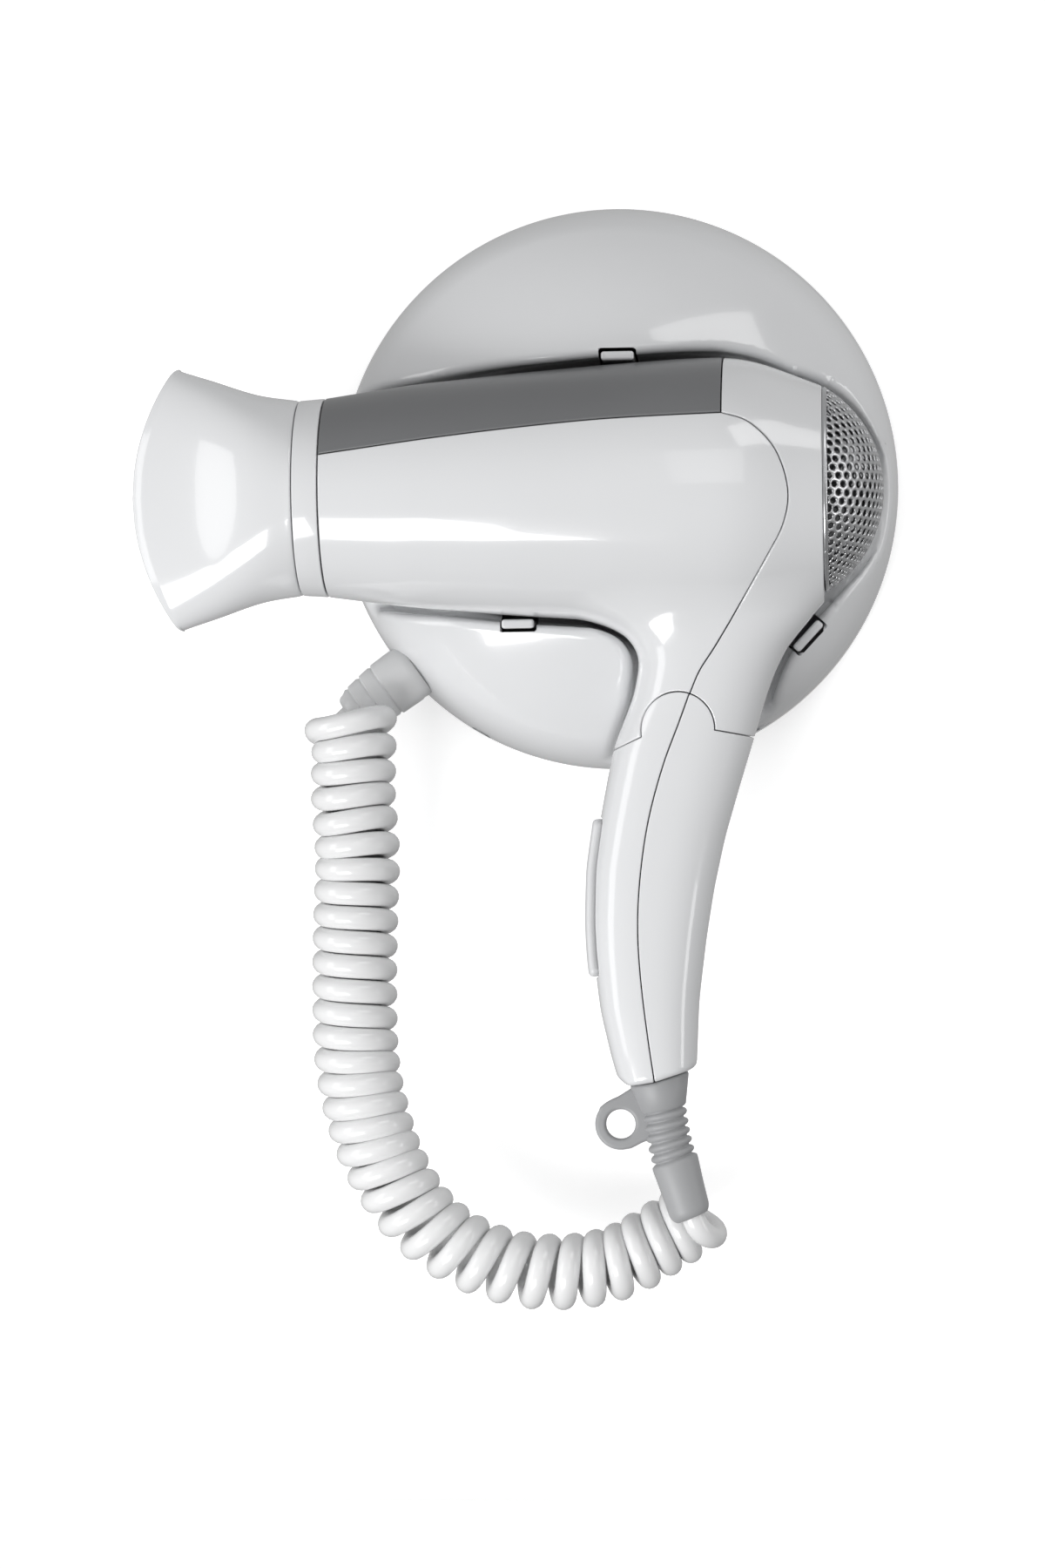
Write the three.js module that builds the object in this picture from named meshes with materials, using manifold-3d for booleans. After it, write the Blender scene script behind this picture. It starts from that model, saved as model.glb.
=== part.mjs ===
// A wall-mounted hair dryer parked in its round holder, with a curly cord between the two.
// Millimetres. The origin is the centre of the back plate's flat back face. X runs along the barrel
// from the nozzle (-X) to the inlet grille (+X), +Y runs into the wall, and Z is up.
import * as THREE from 'three';
import { LoftGeometry } from 'three/addons/geometries/LoftGeometry.js';
import { mergeVertices } from 'three/addons/utils/BufferGeometryUtils.js';
import Module from 'manifold-3d';

const wasm = await Module();
wasm.setup();

// ---- driving dimensions ---------------------------------------------------------------------

const GAP = 0.3;                 // left between pieces that touch on the real object

// holder
const DOME_R = 83;
const CREASE_R = 77;             // where the domed front meets the rounded edge
const CREASE_H = 28;
const EDGE_H = 20;               // height of the straight side wall
const DOME_H = 60;
const COVER_WALL = 2.5;
const PLATE_R = 80;
const PLATE_T = 3;
const PARK_CLEARANCE = 2;        // channel to dryer
const MOUTH_DEPTH = 8;           // straight walls of the channel, below the dome's surface
const MOUTH_CLEARANCE = 1.2;     // mouth of the channel to dryer
const MOUTH_BACK = -19.5;        // where those walls end at the latest

// dryer barrel, a turned form about a horizontal axis
const AXIS_Y = -48;
const AXIS_Z = -3.5;
const SHELL_WALL = 2;
const BARREL = [[-82, 28.7], [-58, 32.1], [-28, 34.9], [0, 37], [20, 38.2], [33, 38.5], [39, 37.8], [45, 36.2],
  [61.5, 29.6]];
const GRILLE = [[61.8, 29.3], [67, 25.2], [71.4, 20.3], [76.2, 10.2], [78.6, 0]];
const GRILLE_WALL = 1.2;

// neck and handle, as [height, place] along the front edge, the rear edge and half the depth
const GRIP_FRONT = [[-25, -20], [-38, -7], [-41, -1.5], [-44.5, 3.6], [-48, 6.5], [-52.3, 7.8], [-62.3, 5.9],
  [-76.8, 0], [-87.3, -2.2], [-97.5, -4.2], [-111.6, -6.4], [-127, -7], [-137, -6.6], [-152.6, -4.9],
  [-166.5, -1.8], [-176, 1]];
const GRIP_REAR = [[-25, 59], [-30, 61.2], [-35.6, 61.2], [-42.5, 55.6], [-48, 50.6], [-56, 46.6], [-63, 44],
  [-74.4, 40.5], [-88, 36.2], [-103, 31.7], [-118, 28.3], [-133, 25.8], [-150, 23.6], [-176, 22.3]];
const GRIP_DEPTH = [[-25, 23], [-45, 20.5], [-60, 19], [-75, 18], [-100, 17], [-130, 15.5], [-160, 13.5], [-176, 12.5]];
const GRIP_SQUARENESS = 2.5;     // exponent of the section, 2 is an ellipse
const GRIP_STATIONS = [-25, -36, -41, -44.5, -48, -53, -63, -76.8, -95, -112, -130, -148, -164, -176];
const HANDLE_FOOT = [[-30, -172], [0.4, -172.6], [3.4, -174.1], [10.5, -172.9], [20, -170], [40, -163]];

// parting lines, as X and Z
const SHELL_SEAM = [[33, 17], [40.9, 14.1], [48.1, 6.4], [51.6, -4.7], [50.3, -14.5], [45.2, -24.2], [37.7, -36.4],
  [30.2, -48.5], [25.6, -55.4], [22.7, -62]];
const TRIM_EDGE = [[-95, 6], [-68, 9.3], [-48, 11.7], [-23, 14.2], [1.5, 16], [33, 17]];
const HANDLE_SEAM = [[23.1, -60.4], [19.4, -70.2], [14.6, -82.6], [10.4, -97.4], [7.9, -112.3], [6.8, -127.2],
  [7.3, -142.1], [9.1, -159.5], [11.6, -178]];
const ARC = { x: 19, z: -72, r: 10.7 };
const SHOULDER_FRONT = [[-30, -90.2], [0.4, -77.4], [8.4, -74]];
const SHOULDER_REAR = [[29.7, -72.4], [40.6, -74.5], [90, -84]];

// nozzle
const NOZZLE_BACK = -89.8;
const NOZZLE_WALL = 1.8;
const NOZZLE = [[-89.8, 28.2, 28.2], [-101, 30, 26], [-114, 34.4, 18], [-125.5, 37.9, 11.5]];
const NOZZLE_BOW = 12;           // how far the middle of the mouth stands out past its corners

// curly cord
const COIL_R = 12.75;
const LEAD_R = 3.5;
const CORD_Y = -30;
const COIL_ROUTE = [[-77.3, CORD_Y, -76.3], [-77.6, CORD_Y, -90], [-76.7, CORD_Y, -107], [-77.4, CORD_Y, -124.4],
  [-78, CORD_Y, -145], [-77.7, CORD_Y, -166], [-75, CORD_Y, -182], [-69.8, CORD_Y, -197.5],
  [-60.3, CORD_Y, -212.6], [-48, CORD_Y, -222.6], [-32, CORD_Y, -228.6], [-15, CORD_Y, -229.6],
  [-1, -29.6, -226.7], [11.1, -28.4, -220.2], [22.4, -27.6, -213]];
const RELIEF_PATH = [[11.7, -172.4], [13.1, -181.9], [15, -192.8], [20.5, -212.6]];

// ---- materials ------------------------------------------------------------------------------

const material = (color, roughness, metalness = 0) =>
  new THREE.MeshStandardMaterial({ color, roughness, metalness });
const WHITE = () => material(0xf1f2f2, 0.25);
const DARK_GREY = () => material(0x6f7173, 0.4);
const MID_GREY = () => material(0x8a8b8e, 0.5);
const LIGHT_GREY = () => material(0xc5c7ca, 0.4);
const STEEL = () => material(0xb9bcc0, 0.35, 0.9);
const CORD_WHITE = () => material(0xeeeeec, 0.3);
const BLACK = () => material(0x2c2c2e, 0.5);
const MICA = () => material(0xcdbb93, 0.6);
const COPPER = () => material(0xb87a4b, 0.4, 0.8);
const WIRE_BLUE = () => material(0x3b66a8, 0.45);
const WIRE_BROWN = () => material(0x7a4a2c, 0.45);

// ---- making and joining solids --------------------------------------------------------------

/** A closed geometry as a solid that can be cut and joined. */
function solid(source) {
  const bare = new THREE.BufferGeometry();
  bare.setAttribute('position', source.attributes.position);
  bare.setIndex(source.index);
  const geometry = mergeVertices(bare, 1e-4);
  const place = geometry.attributes.position;
  const faces = [];
  const index = geometry.index.array;
  let volume = 0;
  const corner = [new THREE.Vector3(), new THREE.Vector3(), new THREE.Vector3()];
  for (let i = 0; i < index.length; i += 3) {
    const [a, b, c] = [index[i], index[i + 1], index[i + 2]];
    if (a === b || b === c || c === a) continue;
    [a, b, c].forEach((vertex, k) => corner[k].fromBufferAttribute(place, vertex));
    volume += corner[0].dot(corner[1].clone().cross(corner[2]));
    faces.push(a, b, c);
  }
  if (volume < 0) faces.reverse();
  const mesh = new wasm.Mesh({
    numProp: 3,
    vertProperties: new Float32Array(place.array),
    triVerts: new Uint32Array(faces),
  });
  return new wasm.Manifold(mesh);
}

/** A solid back as a geometry. */
function geometryOf(body) {
  const mesh = body.getMesh();
  const geometry = new THREE.BufferGeometry();
  geometry.setAttribute('position', new THREE.BufferAttribute(new Float32Array(mesh.vertProperties), 3));
  geometry.setIndex(new THREE.BufferAttribute(new Uint32Array(mesh.triVerts), 1));
  return geometry;
}

const joined = (...bodies) => bodies.reduce((sum, body) => sum.add(body));

/** A block between two opposite corners. */
function block(x0, x1, y0, y1, z0, z1) {
  const geometry = new THREE.BoxGeometry(x1 - x0, y1 - y0, z1 - z0);
  geometry.translate((x0 + x1) / 2, (y0 + y1) / 2, (z0 + z1) / 2);
  return solid(geometry);
}

/** An outline in X and Z, pushed out along Y. */
function prismY(outline, back, front, hole) {
  const shape = new THREE.Shape(outline.map(([x, z]) => new THREE.Vector2(x, z)));
  if (hole) shape.holes.push(new THREE.Path(hole.map(([x, z]) => new THREE.Vector2(x, z))));
  const geometry = new THREE.ExtrudeGeometry(shape, { depth: back - front, bevelEnabled: false });
  geometry.rotateX(Math.PI / 2);
  geometry.translate(0, back, 0);
  return solid(geometry);
}

/** A closed profile of [x, radius] turned about the barrel axis. */
function turnX(profile, sides = 26) {
  const points = profile.map(([x, r]) => new THREE.Vector2(r, x));
  points.push(points[0].clone());
  const geometry = new THREE.LatheGeometry(points, sides);
  geometry.rotateZ(-Math.PI / 2);
  geometry.translate(0, AXIS_Y, AXIS_Z);
  return solid(geometry);
}

/** A closed profile of [radius, height off the wall] turned about the Y axis through (x, z). */
function turnY(profile, x = 0, z = 0, sides = 24) {
  const points = profile.map(([r, height]) => new THREE.Vector2(r, -height));
  points.push(points[0].clone());
  const geometry = new THREE.LatheGeometry(points, sides);
  geometry.translate(x, 0, z);
  return solid(geometry);
}

/** A closed profile of [along, radius] turned about a line from a point in a direction. */
function turnAlong(profile, from, direction, sides = 24) {
  const points = profile.map(([along, r]) => new THREE.Vector2(r, along));
  points.push(points[0].clone());
  const geometry = new THREE.LatheGeometry(points, sides);
  const turn = new THREE.Quaternion().setFromUnitVectors(
    new THREE.Vector3(0, 1, 0), new THREE.Vector3(...direction).normalize());
  geometry.applyQuaternion(turn);
  geometry.translate(...from);
  return solid(geometry);
}

/** A skin through rings of points, closed at both ends. */
function loft(sections) {
  const middle = (ring) => ring.reduce((sum, point) => sum.add(point), new THREE.Vector3()).divideScalar(ring.length);
  const ring = sections[0];
  const travel = middle(sections[sections.length - 1]).sub(middle(ring));
  const turning = new THREE.Vector3();
  ring.forEach((point, i) => turning.add(point.clone().cross(ring[(i + 1) % ring.length])));
  if (turning.dot(travel) < 0) sections.forEach((one) => one.reverse());
  return solid(new LoftGeometry(sections, { closed: true, capStart: true, capEnd: true }));
}

/** A round bar along a smooth route. */
function tube(route, radius, steps, sides) {
  const section = new THREE.Shape();
  for (let i = 0; i < sides; i += 1) {
    const angle = (i / sides) * 2 * Math.PI;
    const [u, v] = [radius * Math.cos(angle), radius * Math.sin(angle)];
    if (i === 0) section.moveTo(u, v);
    else section.lineTo(u, v);
  }
  const path = new THREE.CatmullRomCurve3(route.map((point) => new THREE.Vector3(...point)));
  return solid(new THREE.ExtrudeGeometry(section, { steps, extrudePath: path, bevelEnabled: false }));
}

/** Place on an edge given as [height, place], at one height. */
function edgeAt(edge, height) {
  for (let i = 1; i < edge.length; i += 1) {
    const [[z0, v0], [z1, v1]] = [edge[i - 1], edge[i]];
    if (height >= z1 || i === edge.length - 1) return v0 + ((v1 - v0) * (height - z0)) / (z1 - z0);
  }
  return edge[0][1];
}

/** A strip as wide as the gap between two pieces, along a parting line. */
function partingStrip(line) {
  const side = (sign) => line.map(([x, z], i) => {
    const [x0, z0] = line[Math.max(i - 1, 0)];
    const [x1, z1] = line[Math.min(i + 1, line.length - 1)];
    const reach = (sign * GAP) / 2 / Math.hypot(x1 - x0, z1 - z0);
    return [x - (z1 - z0) * reach, z + (x1 - x0) * reach];
  });
  return prismY([...side(1), ...side(-1).reverse()], 0, -100);
}

/** The largest separate body of a cut solid. */
function mainBody(body) {
  const bodies = body.decompose();
  return bodies.reduce((best, one) => (one.volume() > best.volume() ? one : best));
}

function smooth(line, count) {
  const curve = new THREE.SplineCurve(line.map(([x, z]) => new THREE.Vector2(x, z)));
  return curve.getPoints(count).map((point) => [point.x, point.y]);
}

// ---- outer forms of the dryer ---------------------------------------------------------------

/** The turned barrel, thicker or thinner all over by grow. */
function barrelForm(grow, ends = 0) {
  const [first, last] = [BARREL[0], BARREL[BARREL.length - 1]];
  const profile = BARREL.map(([x, r]) => [x, r + grow]);
  return turnX([[first[0] - ends, 0], [first[0] - ends, first[1] + grow], ...profile,
    [last[0] + ends, last[1] + grow], [last[0] + ends, 0]]);
}

const gripHeights = (lowest) => [...GRIP_STATIONS.filter((z) => z > lowest), lowest];

/** The neck and handle down to a height, thicker or thinner all over by grow. */
function gripForm(grow, lowest) {
  const sides = 16;
  const sections = gripHeights(lowest).map((z) => {
    const front = edgeAt(GRIP_FRONT, z) - grow;
    const rear = edgeAt(GRIP_REAR, z) + grow;
    const depth = edgeAt(GRIP_DEPTH, z) + grow;
    return Array.from({ length: sides }, (_, i) => {
      const angle = (i / sides) * 2 * Math.PI;
      const power = (value) => Math.sign(value) * Math.abs(value) ** (2 / GRIP_SQUARENESS);
      const x = (front + rear) / 2 + ((rear - front) / 2) * power(Math.cos(angle));
      return new THREE.Vector3(x, AXIS_Y + depth * power(Math.sin(angle)), z);
    });
  });
  return loft(sections);
}

/** The parked dryer's outlines seen from the front, wider all round by grow: the barrel's and the grip's. */
function roomOutlines(grow, lowest) {
  const left = -100;
  const profile = [...BARREL.slice(0, -1), ...GRILLE].map(([x, r]) => [x, r + grow]);
  const tip = GRILLE[GRILLE.length - 1][0] + grow;
  const start = BARREL[0][1] + grow;
  const above = profile.map(([x, r]) => [x, AXIS_Z + r]);
  const below = profile.map(([x, r]) => [x, AXIS_Z - r]);
  const heights = gripHeights(lowest);
  const front = heights.map((z) => [edgeAt(GRIP_FRONT, z) - grow, z]);
  const rear = heights.map((z) => [edgeAt(GRIP_REAR, z) + grow, z]);
  return {
    barrel: [[left, AXIS_Z + start], ...above, [tip, AXIS_Z], ...below.reverse(), [left, AXIS_Z - start]],
    grip: [...front, ...rear.reverse()],
    turned: [[left, 0], [left, start], ...profile, [tip, 0]],
  };
}

/** The room that the dryer needs in the holder, and the way out of it along -Y. */
function parkingSpace(grow) {
  const lowest = -100;
  const far = -120;
  const skin = grow - PARK_CLEARANCE;
  const room = roomOutlines(grow, lowest);
  const mouth = roomOutlines(MOUTH_CLEARANCE + skin, lowest);
  const mouthBack = MOUTH_BACK + skin;
  const straight = prismY(mouth.barrel, mouthBack, far).add(prismY(mouth.grip, mouthBack, far));
  return joined(turnX(room.turned, 22), prismY(room.barrel, AXIS_Y, far), gripForm(grow, lowest),
    prismY(room.grip, AXIS_Y, far), straight.subtract(domeForm(MOUTH_DEPTH + skin, 10, 48)));
}

// ---- holder ---------------------------------------------------------------------------------

const CAP_R = (CREASE_R ** 2 + (DOME_H - CREASE_H) ** 2) / (2 * (DOME_H - CREASE_H));

/** The dome as a full body, smaller all over by shrink. */
function domeForm(shrink, back, sides) {
  const radius = CAP_R - shrink;
  const crease = CREASE_R - shrink * 0.8;
  const cap = Array.from({ length: 6 }, (_, i) => {
    const r = (crease * (5 - i)) / 5;
    return [r, DOME_H - CAP_R + Math.sqrt(radius ** 2 - r ** 2)];
  });
  const edge = [[DOME_R - shrink, EDGE_H], [DOME_R - shrink - 1, EDGE_H + 4 - shrink * 0.3]];
  return turnY([[0, back], [DOME_R - shrink, back], ...edge, ...cap], 0, 0, sides);
}

/** Where a snap tab stands: the middle of its inner face, and the way it springs. */
const TAB_SEATS = {
  top: { x: 2.65, z: AXIS_Z + 37.35 + 0.6, out: [0, 1], half: 4.75 },
  lower: { x: -27.35, z: AXIS_Z - 35.35 - 0.6, out: [0, -1], half: 4.7 },
  rear: { x: 55.2, z: -44.2, out: [0.729, -0.684], half: 5.4 },
};
const TAB_ROOT = -22;
const TAB_TIP = { top: -53.4, lower: -49.6, rear: -35.6 };
const TAB_T = 2.6;
const TAB_TRAVEL_ROOM = 0.9;
const TAB_NOTCH = 0.6;

/** A block in a tab's own directions: across, outward and along Y. */
function tabBlock(seat, half, inner, outer, back, front) {
  const geometry = new THREE.BoxGeometry(2 * half, back - front, outer - inner);
  geometry.translate(0, (back + front) / 2, (outer + inner) / 2);
  geometry.rotateY(Math.atan2(seat.out[0], seat.out[1]));
  geometry.translate(seat.x, 0, seat.z);
  return solid(geometry);
}

function snapTab(name) {
  const seat = TAB_SEATS[name];
  return tabBlock(seat, seat.half, 0, TAB_T, TAB_ROOT, TAB_TIP[name]);
}

const RELIEF_DIRECTION = new THREE.Vector3(-0.82, -0.04, -0.57).normalize();
const RELIEF_FROM = [-62.2, -16, -53.9];
const HOLDER_RELIEF_LENGTH = 21.5;
const PLUNGER = { x: 24, z: -60, r: 3 };
const SCREW_HEIGHT = 10;
const SCREW_ANGLES = { left: -120, right: -60 };
const screwDirection = (angle) => [
  Math.cos(THREE.MathUtils.degToRad(angle)), 0, Math.sin(THREE.MathUtils.degToRad(angle))];

/** A turned form on the line of one cover screw, whose zero is on the holder's axis. */
const onScrewLine = (side, profile) =>
  turnAlong(profile, [0, -SCREW_HEIGHT, 0], screwDirection(SCREW_ANGLES[side]), 12);

function holderCover() {
  const outer = domeForm(0, GAP, 48);
  const inner = domeForm(COVER_WALL, -1, 32);
  const channelSkin = parkingSpace(PARK_CLEARANCE + COVER_WALL).intersect(domeForm(0, 3.4, 48));
  let cover = outer.subtract(inner).add(channelSkin).subtract(parkingSpace(PARK_CLEARANCE));
  for (const [name, seat] of Object.entries(TAB_SEATS)) {
    const deep = TAB_T + TAB_TRAVEL_ROOM;
    cover = cover.subtract(tabBlock(seat, seat.half + TAB_NOTCH, -4, deep, TAB_ROOT + 0.6, TAB_TIP[name] - 12));
  }
  cover = cover.subtract(turnY([[0, 0], [PLUNGER.r + 0.4, 0], [PLUNGER.r + 0.4, 60], [0, 60]], PLUNGER.x, PLUNGER.z));
  cover = cover.subtract(turnAlong([[-8, 0], [-8, 6.4], [40, 6.4], [40, 0]], RELIEF_FROM, RELIEF_DIRECTION.toArray()));
  for (const side of ['left', 'right']) {
    cover = cover.subtract(onScrewLine(side, [[70, 0], [70, 1.9], [81.4, 1.9], [81.4, 3.6], [90, 3.6], [90, 0]]));
  }
  return mainBody(cover);
}

function backPlate() {
  let plate = turnY([[0, 0], [PLATE_R, 0], [PLATE_R, PLATE_T], [0, PLATE_T]], 0, 0, 48);
  for (const [x, z] of [[-45, -45], [-45, 45], [45, -45], [45, 45]]) {
    plate = plate.subtract(turnY([[0, -1], [2.5, -1], [2.5, 9], [0, 9]], x, z, 12));
  }
  plate = plate.subtract(turnY([[0, -1], [9, -1], [9, 9], [0, 9]], -10, -66, 20));
  for (const side of ['left', 'right']) {
    const [x, , z] = screwDirection(SCREW_ANGLES[side]);
    const lug = new THREE.BoxGeometry(10, 14, 4);
    lug.rotateY(Math.atan2(x, z));
    lug.translate(x * 77.4, -PLATE_T - 6.5, z * 77.4);
    plate = plate.add(solid(lug)).subtract(onScrewLine(side, [[70, 0], [70, 1.8], [84, 1.8], [84, 0]]));
  }
  return plate;
}

function holderStrainRelief() {
  const steps = [[GAP + 1.2, 8.2, 8.7], [8.2, 12.8, 8.2], [12.8, 17.3, 7.6], [17.3, HOLDER_RELIEF_LENGTH, 6.8]];
  const ribs = [];
  for (const [start, end, radius] of steps) {
    ribs.push([start, radius], [end - 1, radius - 0.2], [end, radius - 0.9]);
  }
  const inside = [[-5.2, 0], [-5.2, 8.5], [-3.7, 8.5], [-3.7, 6], [GAP + 1.2, 6]];
  const body = turnAlong([...inside, ...ribs, [HOLDER_RELIEF_LENGTH, 0]], RELIEF_FROM, RELIEF_DIRECTION.toArray(), 16);
  const wall = domeForm(-GAP, 0, 48).subtract(domeForm(COVER_WALL + GAP, -1, 32));
  const passage = turnAlong([[-20, 0], [-20, 6.05], [60, 6.05], [60, 0]], RELIEF_FROM, RELIEF_DIRECTION.toArray(), 16);
  return mainBody(body.subtract(wall.subtract(passage)));
}

const terminalBlock = () => {
  let body = block(-33, -7, -21, -5, -64, -52);
  for (const x of [-29, -20, -11]) body = body.subtract(block(x - 2, x + 2, -17, -13, -70, -50));
  return body;
};

const parkingSwitch = () => block(12, 31, -10.4, -4, -65, -54);

const cradlePlunger = () => turnY([[0, 14], [4.6, 14], [4.6, 15], [PLUNGER.r, 15], [PLUNGER.r, 27.6],
  [PLUNGER.r - 1, 28.5], [0, 28.5]], PLUNGER.x, PLUNGER.z, 16);

const holderCordClamp = () => block(-50, -44, -24, -5, -57, -46).subtract(
  turnAlong([[-30, 0], [-30, 4.2], [30, 4.2], [30, 0]], [-47, -15.3, -51.2], [0.86, 0.02, -0.5], 12));

const innerLead = () => tube([[-57.4, -15.7, -50.6], [-54.4, -15.6, -49.1], [-51, -15.4, -49.2], [-47, -15.3, -51.2],
  [-42, -15.1, -54.2], [-37.6, -15, -56.6], [-34, -15, -57.6]], LEAD_R, 8, 8);

// ---- dryer casing ---------------------------------------------------------------------------

function casing() {
  const outer = barrelForm(0).add(gripForm(0, -176));
  const lowestInside = -169;
  const inner = barrelForm(-SHELL_WALL, 4).add(gripForm(-SHELL_WALL, lowestInside));
  const belowFoot = prismY([[-60, -200], ...HANDLE_FOOT.map(([x, z]) => [x, z]), [60, -200]], 0, -100);
  return outer.subtract(inner).subtract(belowFoot);
}

const CASING = casing();
const seamLine = smooth(SHELL_SEAM, 15);
const handleLine = smooth(HANDLE_SEAM, 9);

/** The arc at the top of the handle, from the front round to the rear. */
const arcLine = Array.from({ length: 13 }, (_, i) => {
  const angle = Math.PI * (1 - i / 12);
  return [ARC.x + ARC.r * Math.cos(angle), ARC.z + ARC.r * Math.sin(angle)];
});
const seamFoot = 8;              // the point of the arc where the shell seam comes down to it
const arcFront = arcLine.slice(0, seamFoot);
const arcRear = arcLine.slice(seamFoot - 1);
const seamToArc = [...seamLine.slice(0, -1), arcLine[seamFoot - 1]];
const handleTop = [...SHOULDER_FRONT, ...arcLine, ...SHOULDER_REAR];
const TOP = 60;
const trimEnd = TRIM_EDGE[TRIM_EDGE.length - 1];
const trimBack = [trimEnd, [trimEnd[0], TOP]];

const strips = joined(partingStrip(seamToArc), partingStrip(handleTop), partingStrip(TRIM_EDGE),
  partingStrip(trimBack));

const regions = {
  trim: [...TRIM_EDGE, [trimEnd[0], TOP], [-95, TOP]],
  front: [...TRIM_EDGE, ...seamToArc.slice(1), ...[...arcFront.slice(0, -1)].reverse(),
    ...[...SHOULDER_FRONT].reverse(), [-95, -90.2]],
  rear: [[trimEnd[0], TOP], ...seamToArc, ...arcRear.slice(1), ...SHOULDER_REAR, [90, TOP]],
  handle: [...handleTop, [90, -200], [-30, -200]],
};

const casingPiece = (name) => mainBody(CASING.intersect(prismY(regions[name], 0, -100)).subtract(strips));

const PADDLE = { z0: -142.6, z1: -97.5, half: 7, lip: 1.6 };
const SCREW_Z = -150;

function handleHalf(side) {
  const handle = casingPiece('handle').subtract(partingStrip(handleLine));
  const limit = side === 'front' ? -60 : 80;
  let half = handle.intersect(prismY([...handleLine, [limit, -178], [limit, -61]], 0, -100));
  half = half.subtract(turnAlong([[-20, 0], [-20, 4.9], [20, 4.9], [20, 0]], [11.7, AXIS_Y, -172.4], [0.1, 0, -1], 20));
  if (side === 'front') {
    const { z0, z1, half: reach } = PADDLE;
    half = half.subtract(block(-20, 1, AXIS_Y - reach - GAP, AXIS_Y + reach + GAP, z0 - GAP, z1 + GAP));
  } else {
    const bore = [[0, 0], [0, 1.8], [8.1, 1.8], [8.1, 3.4], [30, 3.4], [30, 0]];
    half = half.subtract(turnAlong(bore, [14.4, AXIS_Y, SCREW_Z], [1, 0, 0], 12));
  }
  return mainBody(half);
}

/** The press paddle on the front of the handle, with a lip behind the wall that keeps it in. */
function switchPaddle() {
  const { z0, z1, half, lip } = PADDLE;
  const face = [[-3, z1], [-6.4, z1], [-6.9, -100.3], [-7.6, -109], [-8.5, -113.4], [-8.9, -120.4], [-9, -127.5],
    [-8.85, -134.5], [-8.5, -139.8], [-7.8, z0], [-3, z0]];
  const pad = prismY(face, AXIS_Y + half, AXIS_Y - half);
  const inside = gripForm(-SHELL_WALL - GAP, -169).intersect(
    block(-20, 20, AXIS_Y - half - lip, AXIS_Y + half + lip, z0 - lip, z1 + lip));
  return pad.add(inside.intersect(block(-12, -1.6, -100, 0, -200, 0)));
}

const frontRing = () => turnX([[-89.5, 28.2], [-82.3, 28.7], [-82.3, 26.4], [-77, 26.4], [-77, 24.8], [-89.5, 24.8]]);

function nozzle() {
  const sides = 20;
  const half = NOZZLE[NOZZLE.length - 1][1];
  const form = (grow, past) => loft(NOZZLE.map(([x, high, deep], k) =>
    Array.from({ length: sides }, (_, i) => {
      const angle = (i / sides) * 2 * Math.PI;
      const flat = k / (NOZZLE.length - 1);
      const power = (value) => Math.sign(value) * Math.abs(value) ** (2 / (2 + 1.5 * flat));
      const z = (high + grow) * power(Math.sin(angle));
      const y = (deep + grow) * power(Math.cos(angle));
      const bow = flat ** 2 * NOZZLE_BOW * Math.max(0, 1 - (z / half) ** 2);
      const end = k === 0 ? past : k === NOZZLE.length - 1 ? -past : 0;
      return new THREE.Vector3(x - bow + end, AXIS_Y + y, AXIS_Z + z);
    })));
  const shell = form(0, 0).subtract(form(-NOZZLE_WALL, 0.5));
  const spigot = turnX([[-93, 24.5], [-84.5, 24.5], [-84.5, 22.8], [-93, 22.8]]);
  const web = turnX([[NOZZLE_BACK - 1.8, 27.5], [NOZZLE_BACK, 27.5], [NOZZLE_BACK, 22.8], [NOZZLE_BACK - 1.8, 22.8]]);
  return joined(shell, spigot, web);
}

function rearGrille() {
  const inside = GRILLE.map(([x, r]) => [x - GRILLE_WALL, Math.max(r - GRILLE_WALL, 0)]);
  const spigot = [[57.5, 26.2], [57.5, 27.1], [61.8, 27.1]];
  let dome = turnX([...inside.slice(1).reverse(), ...spigot, ...GRILLE]);
  const rings = [[0, 1], [9, 6], [17.5, 12]];
  for (const [radius, count] of rings) {
    for (let i = 0; i < count; i += 1) {
      const angle = (i / count) * 2 * Math.PI;
      const hole = new THREE.CylinderGeometry(2, 2, 30, 6);
      hole.rotateZ(Math.PI / 2);
      hole.translate(74, AXIS_Y + radius * Math.cos(angle), AXIS_Z + radius * Math.sin(angle));
      dome = dome.subtract(solid(hole));
    }
  }
  return dome;
}

// ---- inside the dryer -----------------------------------------------------------------------

function outletGrille() {
  const disc = turnX([[-81, 0], [-81, 24.4], [-79.4, 24.4], [-79.4, 0]], 22);
  let bars = turnX([[-81, 23], [-81, 24.4], [-79.4, 24.4], [-79.4, 23]], 22);
  for (let z = -16; z <= 16; z += 8) {
    bars = bars.add(disc.intersect(block(-90, -70, -100, 0, AXIS_Z + z - 0.7, AXIS_Z + z + 0.7)));
  }
  return bars.add(disc.intersect(block(-90, -70, AXIS_Y - 0.7, AXIS_Y + 0.7, -60, 60)));
}

const HEATER = { x0: -72, x1: -14, boardR: 20.6, coilR: 21.6, wireR: 0.7, board: 0.8 };

const heaterSleeve = () => turnX([[-74, 23.4], [-74, 24.2], [-10, 24.2], [-10, 23.4]], 22);

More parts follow.
